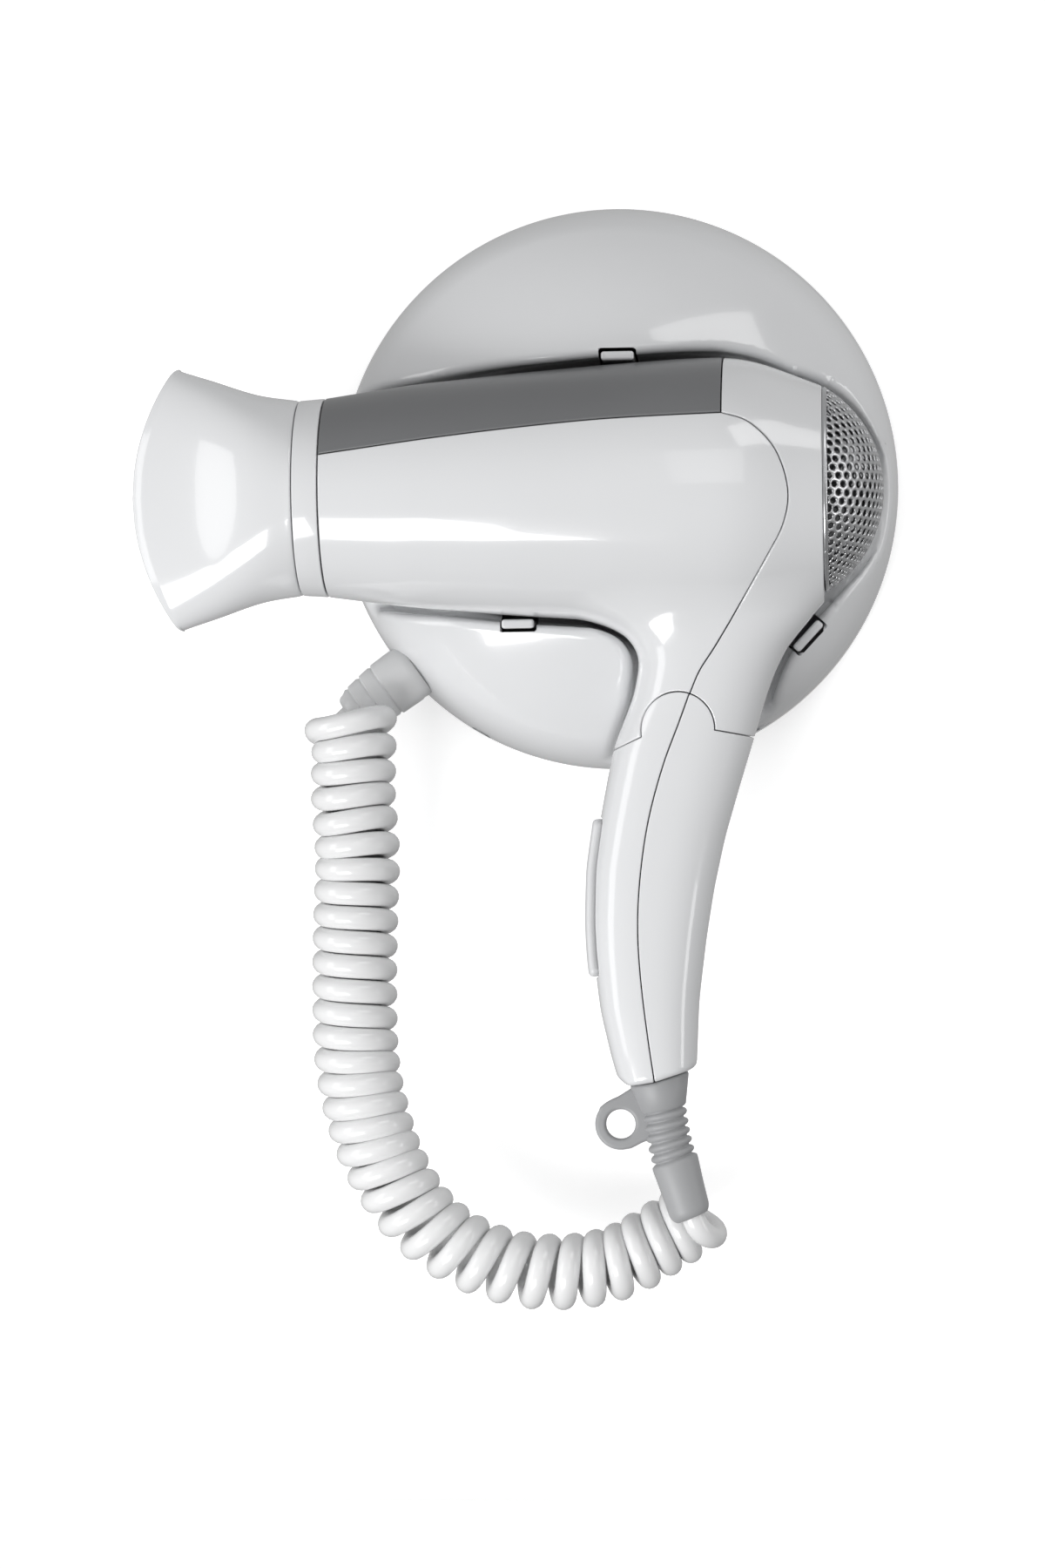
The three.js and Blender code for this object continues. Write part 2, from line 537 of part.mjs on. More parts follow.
function micaBoard(upright) {
  const { x0, x1, boardR, board } = HEATER;
  const middle = (x0 + x1) / 2;
  const half = board / 2;
  const slot = half + GAP;
  if (upright) {
    return block(x0, x1, AXIS_Y - half, AXIS_Y + half, AXIS_Z - boardR, AXIS_Z + boardR).subtract(
      block(x0 - 1, middle + GAP, -100, 0, AXIS_Z - slot, AXIS_Z + slot));
  }
  return block(x0, x1, AXIS_Y - boardR, AXIS_Y + boardR, AXIS_Z - half, AXIS_Z + half).subtract(
    block(middle - GAP, x1 + 1, AXIS_Y - slot, AXIS_Y + slot, -100, 100));
}

function heaterCoil(number) {
  const { x0, coilR, wireR } = HEATER;
  const wire = Array.from({ length: 5 }, (_, i) => {
    const angle = (i / 5) * 2 * Math.PI;
    return [x0 + 7 + number * 10.5 + wireR * Math.cos(angle), coilR + wireR * Math.sin(angle)];
  });
  return turnX(wire, 16);
}

const thermostat = () => turnY([[0, 48.8], [4.5, 48.8], [4.5, 53], [0, 53]], -22, AXIS_Z + 9, 16);
const thermalFuse = () => turnAlong([[0, 0], [0, 1.6], [11, 1.6], [11, 0]], [-48, AXIS_Y - 2.4, AXIS_Z - 9], [1, 0, 0], 10);

const MOTOR = { x0: 4, x1: 30, r: 14.4 };

function fanHousing() {
  let body = joined(turnX([[3, 31.8], [3, 32.8], [46, 32.8], [46, 31.8]]),
    turnX([[6, 14.8], [6, 16.2], [28, 16.2], [28, 14.8]], 20));
  for (let i = 0; i < 7; i += 1) {
    const vane = new THREE.BoxGeometry(18, 1.2, 17);
    vane.rotateZ(0.25);
    vane.translate(18, 0, 24);
    vane.rotateX((i / 7) * 2 * Math.PI);
    vane.translate(0, AXIS_Y, AXIS_Z);
    body = body.add(solid(vane));
  }
  return body.subtract(turnX([[-20, 0], [-20, 14.8], [40, 14.8], [40, 0]], 20));
}

const motor = () => turnX([[MOTOR.x0, 0], [MOTOR.x0, MOTOR.r], [MOTOR.x1, MOTOR.r], [MOTOR.x1, 0]], 20);
const motorShaft = () => turnX([[MOTOR.x1 + GAP, 0], [MOTOR.x1 + GAP, 1.5], [51, 1.5], [51, 0]], 12);

function fanImpeller() {
  let body = turnX([[36, 1.9], [36, 10], [47, 10], [50, 7], [50, 1.9]], 16);
  for (let i = 0; i < 9; i += 1) {
    const blade = new THREE.BoxGeometry(13, 1.3, 22);
    blade.rotateZ(0.7);
    blade.translate(43, 0, 20);
    blade.rotateX((i / 9) * 2 * Math.PI);
    blade.translate(0, AXIS_Y, AXIS_Z);
    body = body.add(solid(blade));
  }
  return body.subtract(turnX([[30, 0], [30, 1.9], [60, 1.9], [60, 0]], 12));
}

const inletFilter = () => turnX([[53.5, 0], [53.5, 27.6], [54.7, 27.6], [54.7, 0]], 22);

const switchBody = () => block(2.4, 15, AXIS_Y - 6, AXIS_Y + 6, -134, -106);
const suppressor = () => block(14, 26, AXIS_Y - 11, AXIS_Y - 4, -98, -84);
const diodeBoard = () => block(10, 27, AXIS_Y + 6, AXIS_Y + 7.4, -98, -82);
const cordClamp = () => block(5.4, 18.4, AXIS_Y - 7, AXIS_Y + 7, -160, -154.8).subtract(
  turnAlong([[-20, 0], [-20, 4], [20, 4], [20, 0]], [11.1, AXIS_Y, -155], [0, 0, 1], 12));
const innerCord = () => tube([[11.2, AXIS_Y, -161.6], [11, AXIS_Y, -158], [11, AXIS_Y, -152], [11, AXIS_Y, -147]],
  LEAD_R, 4, 8);
const switchWire = () => tube([[8, AXIS_Y, -146.6], [7.5, AXIS_Y, -143], [8, AXIS_Y, -138], [8, AXIS_Y, -134.4]], 1.3, 6, 6);
const mainsWire = () => tube([[14.4, AXIS_Y, -146.6], [17.8, AXIS_Y, -140], [18.6, AXIS_Y, -120], [20, AXIS_Y, -100],
  [24, AXIS_Y, -75], [20, AXIS_Y, -52], [9, AXIS_Y, -42], [3.2, AXIS_Y, -38.8], [-2, AXIS_Y, -35.6],
  [-9, AXIS_Y, -30.5]], 1.3, 20, 6);
const heaterWire = () => tube([[7, AXIS_Y, -105.6], [8, AXIS_Y, -96], [12, AXIS_Y + 2, -80], [13, AXIS_Y + 4, -62],
  [12.5, AXIS_Y + 5, -50], [9.5, AXIS_Y + 5, -44], [4, AXIS_Y + 5, -39.6], [-1, AXIS_Y + 5, -36],
  [-8, AXIS_Y + 5, -31.5]], 1.3, 18, 6);

const handleScrew = () => turnAlong([[0, 0], [0, 1.4], [6.8, 1.4], [6.8, 3], [7.5, 2.4], [7.5, 0]],
  [16, AXIS_Y, SCREW_Z], [1, 0, 0], 12);

/** The boot on the cord where it leaves the handle, with its hanging loop. */
function handleStrainRelief() {
  const curve = new THREE.CatmullRomCurve3(RELIEF_PATH.map(([x, z]) => new THREE.Vector3(x, AXIS_Y, z)));
  const total = curve.getLength();
  const radii = [[-0.02, 8.3], [4, 7.6], [9, 6]];
  for (let rib = 0; rib < 5; rib += 1) {
    const start = 9.4 + rib * 2.8;
    radii.push([start, 6.3], [start + 1.6, 6.2], [start + 1.8, 5], [start + 2.5, 5]);
  }
  radii.push([23.4, 6.6], [24.2, 6.8], [38, 5.9], [40.3, 5.2], [total, 3.9]);
  const sides = 10;
  const sections = radii.map(([along, radius]) => {
    const at = Math.min(Math.max(along / total, 0), 1);
    const centre = curve.getPointAt(at);
    const ahead = curve.getTangentAt(at);
    const across = new THREE.Vector3(-ahead.z, 0, ahead.x);
    return Array.from({ length: sides }, (_, i) => {
      const angle = (i / sides) * 2 * Math.PI;
      const place = centre.clone().addScaledVector(across, radius * Math.cos(angle));
      place.y += radius * Math.sin(angle);
      return place;
    });
  });
  const boot = loft(sections);
  const [loopX, loopZ] = [0.5, -185.4];
  const circle = (radius, count) => Array.from({ length: count }, (_, i) => {
    const angle = (i / count) * 2 * Math.PI;
    return [loopX + radius * Math.cos(angle), loopZ + radius * Math.sin(angle)];
  });
  const [plateBack, plateFront] = [AXIS_Y + 1.8, AXIS_Y - 1.8];
  const arm = prismY([[-5.6, -181], [3.6, -175], [14, -176], [14, -189], [3, -192.3]], plateBack, plateFront);
  const loop = prismY(circle(7.4, 20), plateBack, plateFront).add(arm).subtract(prismY(circle(4.25, 14), 0, -100));
  const footLine = HANDLE_FOOT.map(([x, z]) => [x, z - GAP]);
  const above = prismY([...footLine, [60, -100], [-60, -100]], 0, -100);
  const stem = turnAlong([[0, 0], [0, 7.4], [2.4, 7.4], [2.4, 4.5], [14, 4.5], [14, 0]],
    [11, AXIS_Y, -162.2], [0.06, 0, -1], 16);
  return joined(boot.add(loop).subtract(above), stem);
}

// ---- cord -----------------------------------------------------------------------------------

const cordCoil = () => tube(COIL_ROUTE, COIL_R, 18, 10);
const cordLeadHolder = () => tube([[-81.6, -17.1, -67.4], [-83.6, -18.2, -69.2], [-84.6, -20.4, -71.4],
  [-84.8, -22.2, -73.8], [-84.8, -22.4, -75.7]], LEAD_R, 6, 8);
const cordLeadDryer = () => tube([[20.7, -48, -213.2], [22, -47.8, -216.4], [25, -46, -219.2], [28.4, -43, -220.4],
  [30.8, -38, -219.6], [30.8, -32, -216.4], [27.6, -27.2, -213]], LEAD_R, 8, 8);

// ---- the object -----------------------------------------------------------------------------

const group = new THREE.Group();

function add(name, body, finish) {
  const mesh = new THREE.Mesh(geometryOf(body), finish);
  mesh.name = name;
  group.add(mesh);
}

add('back_plate', backPlate(), LIGHT_GREY());
add('holder_cover', holderCover(), WHITE());
for (const side of ['left', 'right']) {
  const profile = [[72, 0], [72, 1.5], [81.7, 1.5], [81.7, 3.3], [82.8, 3.3], [82.8, 0]];
  add(`cover_screw_${side}`, onScrewLine(side, profile), STEEL());
}
for (const name of Object.keys(TAB_SEATS)) add(`snap_tab_${name}`, snapTab(name), WHITE());
add('terminal_block', terminalBlock(), BLACK());
add('parking_switch', parkingSwitch(), BLACK());
add('cradle_plunger', cradlePlunger(), MID_GREY());
add('holder_cord_clamp', holderCordClamp(), MID_GREY());
add('holder_inner_lead', innerLead(), CORD_WHITE());
add('holder_strain_relief', holderStrainRelief(), WHITE());
add('cord_lead_holder', cordLeadHolder(), CORD_WHITE());
add('cord_coil', cordCoil(), CORD_WHITE());
add('cord_lead_dryer', cordLeadDryer(), CORD_WHITE());

add('barrel_shell', casingPiece('front'), WHITE());
add('top_trim', casingPiece('trim'), DARK_GREY());
add('rear_shell', casingPiece('rear'), WHITE());
add('handle_front', handleHalf('front'), WHITE());
add('handle_rear', handleHalf('rear'), WHITE());
add('front_ring', frontRing(), WHITE());
add('nozzle', nozzle(), WHITE());
add('rear_grille', rearGrille(), STEEL());
add('switch_paddle', switchPaddle(), LIGHT_GREY());
add('handle_strain_relief', handleStrainRelief(), MID_GREY());
add('handle_screw', handleScrew(), STEEL());

add('outlet_grille', outletGrille(), BLACK());
add('heater_sleeve', heaterSleeve(), MICA());
add('mica_board_upright', micaBoard(true), MICA());
add('mica_board_level', micaBoard(false), MICA());
for (let number = 0; number < 5; number += 1) add(`heater_coil_${number + 1}`, heaterCoil(number), COPPER());
add('thermostat', thermostat(), STEEL());
add('thermal_fuse', thermalFuse(), STEEL());
add('fan_housing', fanHousing(), BLACK());
add('motor', motor(), STEEL());
add('motor_shaft', motorShaft(), STEEL());
add('fan_impeller', fanImpeller(), BLACK());
add('inlet_filter', inletFilter(), MID_GREY());
add('switch_body', switchBody(), BLACK());
add('suppressor', suppressor(), WIRE_BLUE());
add('diode_board', diodeBoard(), MICA());
add('cord_clamp', cordClamp(), MID_GREY());
add('inner_cord', innerCord(), CORD_WHITE());
add('switch_wire', switchWire(), WIRE_BROWN());
add('mains_wire', mainsWire(), WIRE_BLUE());
add('heater_wire', heaterWire(), WIRE_BROWN());

export default group;
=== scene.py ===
import math

import bpy
import numpy as np
from mathutils import Matrix, Vector


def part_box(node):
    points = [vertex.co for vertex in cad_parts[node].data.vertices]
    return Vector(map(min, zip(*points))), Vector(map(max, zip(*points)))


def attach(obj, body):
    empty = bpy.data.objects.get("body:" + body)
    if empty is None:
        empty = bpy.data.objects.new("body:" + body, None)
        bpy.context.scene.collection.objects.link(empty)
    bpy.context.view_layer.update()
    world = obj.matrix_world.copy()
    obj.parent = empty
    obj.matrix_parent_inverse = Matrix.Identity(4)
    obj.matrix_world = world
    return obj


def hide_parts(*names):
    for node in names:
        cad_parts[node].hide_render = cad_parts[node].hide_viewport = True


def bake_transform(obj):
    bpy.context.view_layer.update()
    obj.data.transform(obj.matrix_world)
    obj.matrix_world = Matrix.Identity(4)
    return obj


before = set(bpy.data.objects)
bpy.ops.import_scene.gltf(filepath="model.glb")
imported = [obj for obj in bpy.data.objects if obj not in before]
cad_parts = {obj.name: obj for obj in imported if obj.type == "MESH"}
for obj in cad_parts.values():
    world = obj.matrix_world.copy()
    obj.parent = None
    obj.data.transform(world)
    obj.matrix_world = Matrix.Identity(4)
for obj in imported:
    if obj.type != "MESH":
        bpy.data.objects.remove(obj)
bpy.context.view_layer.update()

# A wall-mounted hair dryer parked in its round holder, with a curly cord. X runs along the barrel from the
# nozzle to the inlet grille, +Y runs into the wall and Z is up. Shapes are worked out in millimetres.

MM = 0.001


def box_mm(node):
    low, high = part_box(node)
    return np.array(low) / MM, np.array(high) / MM


# ---- driving dimensions ----

ring_low, ring_high = box_mm("front_ring")
AXIS_Y, AXIS_Z = (ring_low[1] + ring_high[1]) / 2, (ring_low[2] + ring_high[2]) / 2
BARREL_FRONT, BARREL_REAR = -82, 61.5
BARREL = [(-82, 28.7), (-58, 32.1), (-28, 34.9), (0, 37), (20, 38.2), (33, 38.5), (39, 37.8), (45, 36.2),
    (61.5, 29.6)]
GRILLE_CENTRE_X, GRILLE_R = 44.4, 34.2

GRIP_FRONT = [(-25, -20), (-38, -7), (-41, -1.5), (-44.5, 3.6), (-48, 6.5), (-52.3, 7.8), (-62.3, 5.9),
    (-76.8, 0), (-87.3, -2.2), (-97.5, -4.2), (-111.6, -6.4), (-127, -7), (-137, -6.6), (-152.6, -4.9),
    (-166.5, -1.8), (-176, 1)]
GRIP_REAR = [(-25, 59), (-30, 61.2), (-35.6, 61.2), (-42.5, 55.6), (-48, 50.6), (-56, 46.6), (-63, 44),
    (-74.4, 40.5), (-88, 36.2), (-103, 31.7), (-118, 28.3), (-133, 25.8), (-150, 23.6), (-176, 22.3)]
GRIP_DEPTH = [(-25, 23), (-45, 20.5), (-60, 19), (-75, 18), (-100, 17), (-130, 15.5), (-160, 13.5),
    (-176, 12.5)]
GRIP_SQUARENESS = 2.5
GRIP_PROFILE_TOP, GRIP_TOP = -25, -12
HANDLE_FOOT = [(-30, -172), (0.4, -172.6), (3.4, -174.1), (10.5, -172.9), (20, -170), (40, -163)]
FOOT_ROUNDING = 1.5
ABOVE_FOOT = -150
NECK_FILLET = 5

TRIM_CORNER = (33, 17)
SHELL_SEAM = [TRIM_CORNER, (40.9, 14.1), (48.1, 6.4), (51.6, -4.7), (50.3, -14.5), (45.2, -24.2),
    (37.7, -36.4), (30.2, -48.5), (25.6, -55.4)]
TRIM_EDGE = [(-95, 6), (-68, 9.3), (-48, 11.7), (-23, 14.2), (1.5, 16), TRIM_CORNER]
HANDLE_SEAM = [(23.1, -60.4), (19.4, -70.2), (14.6, -82.6), (10.4, -97.4), (7.9, -112.3), (6.8, -127.2),
    (7.3, -142.1), (9.1, -159.5), (11.6, -178)]
ARC_CENTRE, ARC_R, ARC_STEPS = (19, -72), 10.7, 36
SEAM_MEETS_ARC_AT = 70
SHOULDER_FRONT = [(-30, -90.2), (0.4, -77.4), (8.4, -74)]
SHOULDER_REAR = [(29.7, -72.4), (40.6, -74.5), (90, -84)]
REGION_LEFT, REGION_RIGHT, REGION_BOTTOM, REGION_TOP = -95, 90, -200, 60

SHELL_WALL = 2
SEAM_HALF_GAP = 0.15
SEAM_ROUNDING = 0.4
LEAST_WALL = 0.8
CLEAR_MARGIN = 0.05
FAR_INSIDE = -20.0

DOME_R, DOME_H, CREASE_R, CREASE_H = 83, 60, 77, 28
CAP_R = (CREASE_R ** 2 + (DOME_H - CREASE_H) ** 2) / (2 * (DOME_H - CREASE_H))
DOME_EDGE_ROUNDING = 9
LIP_ROUNDING = 3.4
PARK_CLEARANCE = 2
MOUTH_DEPTH, MOUTH_BACK, MOUTH_CLEARANCE = 8, -19.5, 1.2
COVER_WALL = 2.5
COVER_BACK = -0.3
COVER_EDGE_ROUNDING, HOLE_EDGE_ROUNDING = 0.4, 0.3
PLUNGER_HOLE_R = 3.4

TAB_SEATS = {
    "top": dict(x=2.65, z=34.45, out=(0, 1), half=4.75, tip=-53.4),
    "lower": dict(x=-27.35, z=-39.45, out=(0, -1), half=4.7, tip=-49.6),
    "rear": dict(x=55.2, z=-44.2, out=(0.729, -0.684), half=5.4, tip=-35.6),
}
TAB_ROOT, TAB_T, TAB_ROUNDING = -22, 2.6, 0.8
TAB_TRAVEL_ROOM, TAB_NOTCH, TAB_NOTCH_INWARD, TAB_ROOT_GAP, TAB_ROOM_MARGIN = 0.75, 0.45, 6, 0.6, 0.2

PADDLE = dict(bottom=-142.6, top=-97.5, half=7, gap=0.3, corner=2.5, rounding=1.3, wall=4.4, proud=2.1)
SLOT_BACK = 2

RELIEF_PATH = [(11.7, -172.4), (13.1, -181.9), (15, -192.8), (20.5, -212.6)]
RELIEF_HOLE_R, RELIEF_HOLE_TOP = 5.2, -160
COLLAR_WAY = (0.06, 0, -0.998)
RIB_PITCH, RIB_COUNT, RIB_START, RIB_VALLEY, RIB_HEIGHT, RIB_LEAN = 2.85, 5, 9.4, 5.3, 1.2, 0.06
LOOP_CENTRE, LOOP_R, LOOP_HOLE, LOOP_HALF_T, LOOP_ROUNDING = (0.5, -185.4), 7.4, 4.25, 1.8, 0.9
LOOP_WEB = [(-5.4, -180.7), (3.8, -175.0), (12, -175.6), (14, -188), (3.0, -192.2)]
HOLDER_RELIEF_FROM = np.array([-62.2, -16, -53.9])
HOLDER_RELIEF_WAY = np.array([-0.82, -0.04, -0.57]) / np.linalg.norm([-0.82, -0.04, -0.57])
HOLDER_RELIEF_LENGTH = 21.5
PASSAGE_R, PASSAGE_DEPTH = 6.6, 8

NOZZLE = [(-89.8, 28.2, 28.2), (-101, 30, 26), (-114, 34.4, 18), (-125.5, 37.9, 11.5)]
NOZZLE_BOW = 12
NOZZLE_WALL = 1.8
NOZZLE_SQUARENESS = 1.5
NOZZLE_SIDES, NOZZLE_STEPS = 96, 32
SPIGOT_R, SPIGOT_BORE, SPIGOT_LENGTH = 24.5, 22.8, 4.6

STRAND_R = 3.45
CORD_Y = -30
LEAD_START = [(-73.5, -16.55, -61.7), (-76.8, -16.7, -64), (-79.9, -16.9, -66.4), (-82.9, -17.6, -69.4),
    (-86.2, -20.4, -72.4)]
LEAD_END = [(23.8, -22.6, -216.4), (26.4, -29, -217.8), (26.9, -36.5, -218.8), (25.6, -43, -218.6),
    (23.2, -47, -216.8), (21.4, -48, -214), (20.3, -48, -210.6), (19.4, -48, -207)]
COIL_ROUTE = [(-77.3, CORD_Y, -76.3), (-77.6, CORD_Y, -90), (-76.7, CORD_Y, -107), (-77.4, CORD_Y, -124.4),
    (-78, CORD_Y, -145), (-77.7, CORD_Y, -166), (-75, CORD_Y, -182), (-69.8, CORD_Y, -197.5),
    (-60.3, CORD_Y, -212.6), (-48, CORD_Y, -222.6), (-32, CORD_Y, -228.6), (-15, CORD_Y, -229.6),
    (-1, -29.6, -226.7), (11.1, -28.4, -220.2), (22.4, -27.6, -213)]
TURNS = 32.75
HELIX_START = -9.6
HELIX_PAST_END = -3.6
PITCH = [(-10, 7.2), (30, 7.05), (75, 7.1), (95, 6.6), (122, 6.6), (135, 7.9), (150, 8.1), (170, 8.5),
    (182, 8.7), (194, 7.6), (205, 7.15), (225, 6.6)]
HELIX_RADIUS = [(-10, 9.35), (110, 9.35), (150, 8.3), (170, 8.05), (240, 8.05)]
FIRST_TURN_SHIFT = (-2.2, 0, 0.4)
LOOP_TILT = [(-9, 4.1), (-2, 2.9), (6, 2.3), (24, 2.0), (50, 0.9), (90, 0.2), (130, 0)]

# ---- curves and fields ----

EASE_STEPS = 8
EASE_REACH = 3 * EASE_STEPS


def catmull(points, steps):
    """A smooth line through points, with the same number of steps between each two."""
    p = np.array(points, float)
    p = np.vstack([2 * p[0] - p[1], p, 2 * p[-1] - p[-2]])
    t = np.linspace(0, 1, steps, endpoint=False)[:, None]
    parts = []
    for a, b, c, d in zip(p, p[1:], p[2:], p[3:]):
        parts.append(0.5 * (2 * b + (c - a) * t + (2 * a - 5 * b + 4 * c - d) * t ** 2
            + (3 * b - a - 3 * c + d) * t ** 3))
    return np.vstack([*parts, p[-2:-1]])


def length_along(line):
    """The distance from a line's first point to each of its points."""
    return np.concatenate([[0], np.cumsum(np.linalg.norm(np.diff(line, axis=0), axis=1))])


def eased(knots, softness):
    """A function through knots, straight between them, then smoothed over a width."""
    knots = np.array(sorted(knots), float)
    step = softness / EASE_STEPS
    reach = 6 * softness
    at = np.arange(knots[0, 0] - reach, knots[-1, 0] + reach, step)
    first = (knots[1, 1] - knots[0, 1]) / (knots[1, 0] - knots[0, 0])
    last = (knots[-1, 1] - knots[-2, 1]) / (knots[-1, 0] - knots[-2, 0])
    values = np.interp(at, knots[:, 0], knots[:, 1])
    values += np.minimum(at - knots[0, 0], 0) * first + np.maximum(at - knots[-1, 0], 0) * last
    spread = np.exp(-0.5 * (np.arange(-EASE_REACH, EASE_REACH + 1) / EASE_STEPS) ** 2)
    smooth = np.convolve(values, spread / spread.sum(), "same")[EASE_REACH:-EASE_REACH]
    return lambda x: np.interp(x, at[EASE_REACH:-EASE_REACH], smooth)


def outline(points):
    """A field that is the distance to an outline in X and Z, negative inside it."""
    a = np.array(points, float)
    b = np.roll(a, -1, 0)

    def field(p):
        result = []
        for part in np.array_split(p[:, [0, 2]], len(p) // 20000 + 1):
            to, side = part[:, None] - a, (b - a)[None]
            along = np.clip((to * side).sum(2) / (side ** 2).sum(2), 0, 1)
            distance = np.linalg.norm(to - along[..., None] * side, axis=2).min(1)
            low, high = part[:, None, 1] < a[None, :, 1], part[:, None, 1] < b[None, :, 1]
            with np.errstate(divide="ignore", invalid="ignore"):
                cross = a[:, 0] + (part[:, None, 1] - a[:, 1]) / (b - a)[:, 1] * (b - a)[:, 0]
            inside = ((low != high) & (part[:, None, 0] < cross)).sum(1) % 2 == 1
            result.append(np.where(inside, -distance, distance))
        return np.concatenate(result)

    return field


def both(a, b, r=0.0):
    """Two fields' common part, with an edge rounded to radius r."""
    if r == 0:
        return np.maximum(a, b)
    return np.minimum(-r, np.maximum(a, b)) + np.hypot(np.maximum(a + r, 0), np.maximum(b + r, 0))


def either(a, b, r=0.0):
    """Two fields joined, with a fillet of radius r."""
    return -both(-a, -b, r)


def gradient(field, p, h=0.04):
    """How a field rises along each axis at points."""
    g = np.empty_like(p)
    for k in range(3):
        step = np.zeros(3)
        step[k] = h
        g[:, k] = (field(p + step) - field(p - step)) / (2 * h)
    return g


def unit(v):
    return v / np.maximum(np.linalg.norm(v, axis=-1, keepdims=True), 1e-9)


def settle(field, p, rounds, most):
    """Points drawn onto the field's zero surface."""
    for _ in range(rounds):
        g = gradient(field, p)
        move = (field(p) / np.maximum((g ** 2).sum(1), 1e-6))[:, None] * g
        size = np.linalg.norm(move, axis=1, keepdims=True)
        p = p - move * np.minimum(1, most / np.maximum(size, 1e-9))
    return p


def surface(field, low, high, step):
    """Points and triangles of the field's zero surface inside a box, by surface nets."""
    axes = [np.arange(a, b + step, step) for a, b in zip(low, high)]
    shape = [len(a) for a in axes]
    slabs = []
    for x in axes[0]:
        y, z = np.meshgrid(axes[1], axes[2], indexing="ij")
        slabs.append(field(np.stack([np.full(y.size, x), y.ravel(), z.ravel()], 1)).reshape(y.shape))
    v = np.stack(slabs)
    count = np.zeros(np.prod(shape))
    total = np.zeros((np.prod(shape), 3))
    quads = []
    strides = np.array([shape[1] * shape[2], shape[2], 1])
    for d in range(3):
        e, f = (d + 1) % 3, (d + 2) % 3
        lower = np.take(v, range(shape[d] - 1), d)
        upper = np.take(v, range(1, shape[d]), d)
        at = np.argwhere((lower < 0) != (upper < 0))
        at = at[(at[:, e] > 0) & (at[:, f] > 0) & (at[:, e] < shape[e] - 1) & (at[:, f] < shape[f] - 1)]
        a, b = lower[tuple(at.T)], upper[tuple(at.T)]
        place = at.astype(float)
        place[:, d] += a / (a - b)
        cells = []
        for back_e, back_f in ((1, 1), (0, 1), (0, 0), (1, 0)):
            cell = at @ strides - back_e * strides[e] - back_f * strides[f]
            cells.append(cell)
            np.add.at(count, cell, 1)
            np.add.at(total, cell, place)
        quad = np.stack(cells, 1)
        quads.append(np.where((a < 0)[:, None], quad, quad[:, ::-1]))
    quads = np.vstack(quads)
    used, quads = np.unique(quads, return_inverse=True)
    quads = quads.reshape(-1, 4)
    points = total[used] / count[used][:, None] * step + np.array(low)
    edges = np.vstack([quads[:, [k, (k + 1) % 4]] for k in range(4)])
    weight = np.bincount(edges.ravel(), minlength=len(points))[:, None]
    for _ in range(3):
        points = settle(field, points, 2, step)
        beside = np.zeros_like(points)
        np.add.at(beside, edges[:, 0], points[edges[:, 1]])
        np.add.at(beside, edges[:, 1], points[edges[:, 0]])
        points = 0.5 * points + 0.5 * beside / weight
    points = settle(field, points, 4, step)
    near = np.linalg.norm(points[quads[:, 0]] - points[quads[:, 2]], axis=1)
    far = np.linalg.norm(points[quads[:, 1]] - points[quads[:, 3]], axis=1)
    first = np.where((near <= far)[:, None], quads[:, [0, 1, 2]], quads[:, [1, 2, 3]])
    second = np.where((near <= far)[:, None], quads[:, [0, 2, 3]], quads[:, [1, 3, 0]])
    return points, np.vstack([first, second])


# ---- cutting a surface along lines ----

CUT_SLACK = 0.03
EDGE_SHARES = (0, 0.2, 0.55, 1)


def split(points, faces, value, level):
    """The same surface with its faces divided along value = level."""
    side = np.where(value < level - CUT_SLACK, -1, np.where(value > level + CUT_SLACK, 1, 0))
    s = side[faces]
    mixed = (s.min(1) < 0) & (s.max(1) > 0)
    work, s = faces[mixed], s[mixed]
    on_line = (s == 0).any(1)
    lone = (s * s.sum(1, keepdims=True) < 0).argmax(1)
    first = np.where(on_line, (s == 0).argmax(1), lone)
    a, b, c = np.take_along_axis(work, (first[:, None] + np.arange(3)) % 3, 1).T
    bc, ab, ac = (np.stack(ends, 1) for ends in ((b, c), (a, b), (a, c)))
    pairs = np.vstack([bc[on_line], ab[~on_line], ac[~on_line]])
    if not len(pairs):
        return points, faces
    pairs, new = np.unique(np.sort(pairs, 1), axis=0, return_inverse=True)
    new = new.ravel() + len(points)
    v0, v1 = value[pairs[:, 0]], value[pairs[:, 1]]
    t = ((level - v0) / (v1 - v0))[:, None]
    added = points[pairs[:, 0]] * (1 - t) + points[pairs[:, 1]] * t
    through, crossed = np.split(new, [on_line.sum()])
    m1, m2 = np.split(crossed, 2)
    az, bz, cz = a[on_line], b[on_line], c[on_line]
    al, bl, cl = a[~on_line], b[~on_line], c[~on_line]
    parts = [(az, bz, through), (az, through, cz), (al, m1, m2), (m1, bl, cl), (m1, cl, m2)]
    return np.vstack([points, added]), np.vstack([faces[~mixed], *[np.stack(x, 1) for x in parts]])


def compact(points, faces):
    """Only the points that faces use."""
    used, index = np.unique(faces, return_inverse=True)
    return points[used], index.reshape(-1, 3)


def trimmed(field, points, faces, cuts):
    """The part of a surface inside every cut, divided along each cut's rounded edge."""
    for cut, radius, gap in cuts:
        for share in EDGE_SHARES:
            level = -gap - share * radius
            value = cut(points)
            points, faces = split(points, faces, value, level)
            if share == 0:
                beyond = np.append(value, np.full(len(points) - len(value), level))[faces] - level
                inside = (beyond.max(1) <= CUT_SLACK) & (beyond.sum(1) < 0)
                on_line = (beyond == 0).all(1)
                keep = np.where(on_line, cut(points)[faces].mean(1) < level, inside)
                points, faces = compact(points, faces[keep])
    return settle(field, points, 1, 0.2), faces


def face_edges(faces):
    return np.vstack([faces[:, [0, 1]], faces[:, [1, 2]], faces[:, [2, 0]]])


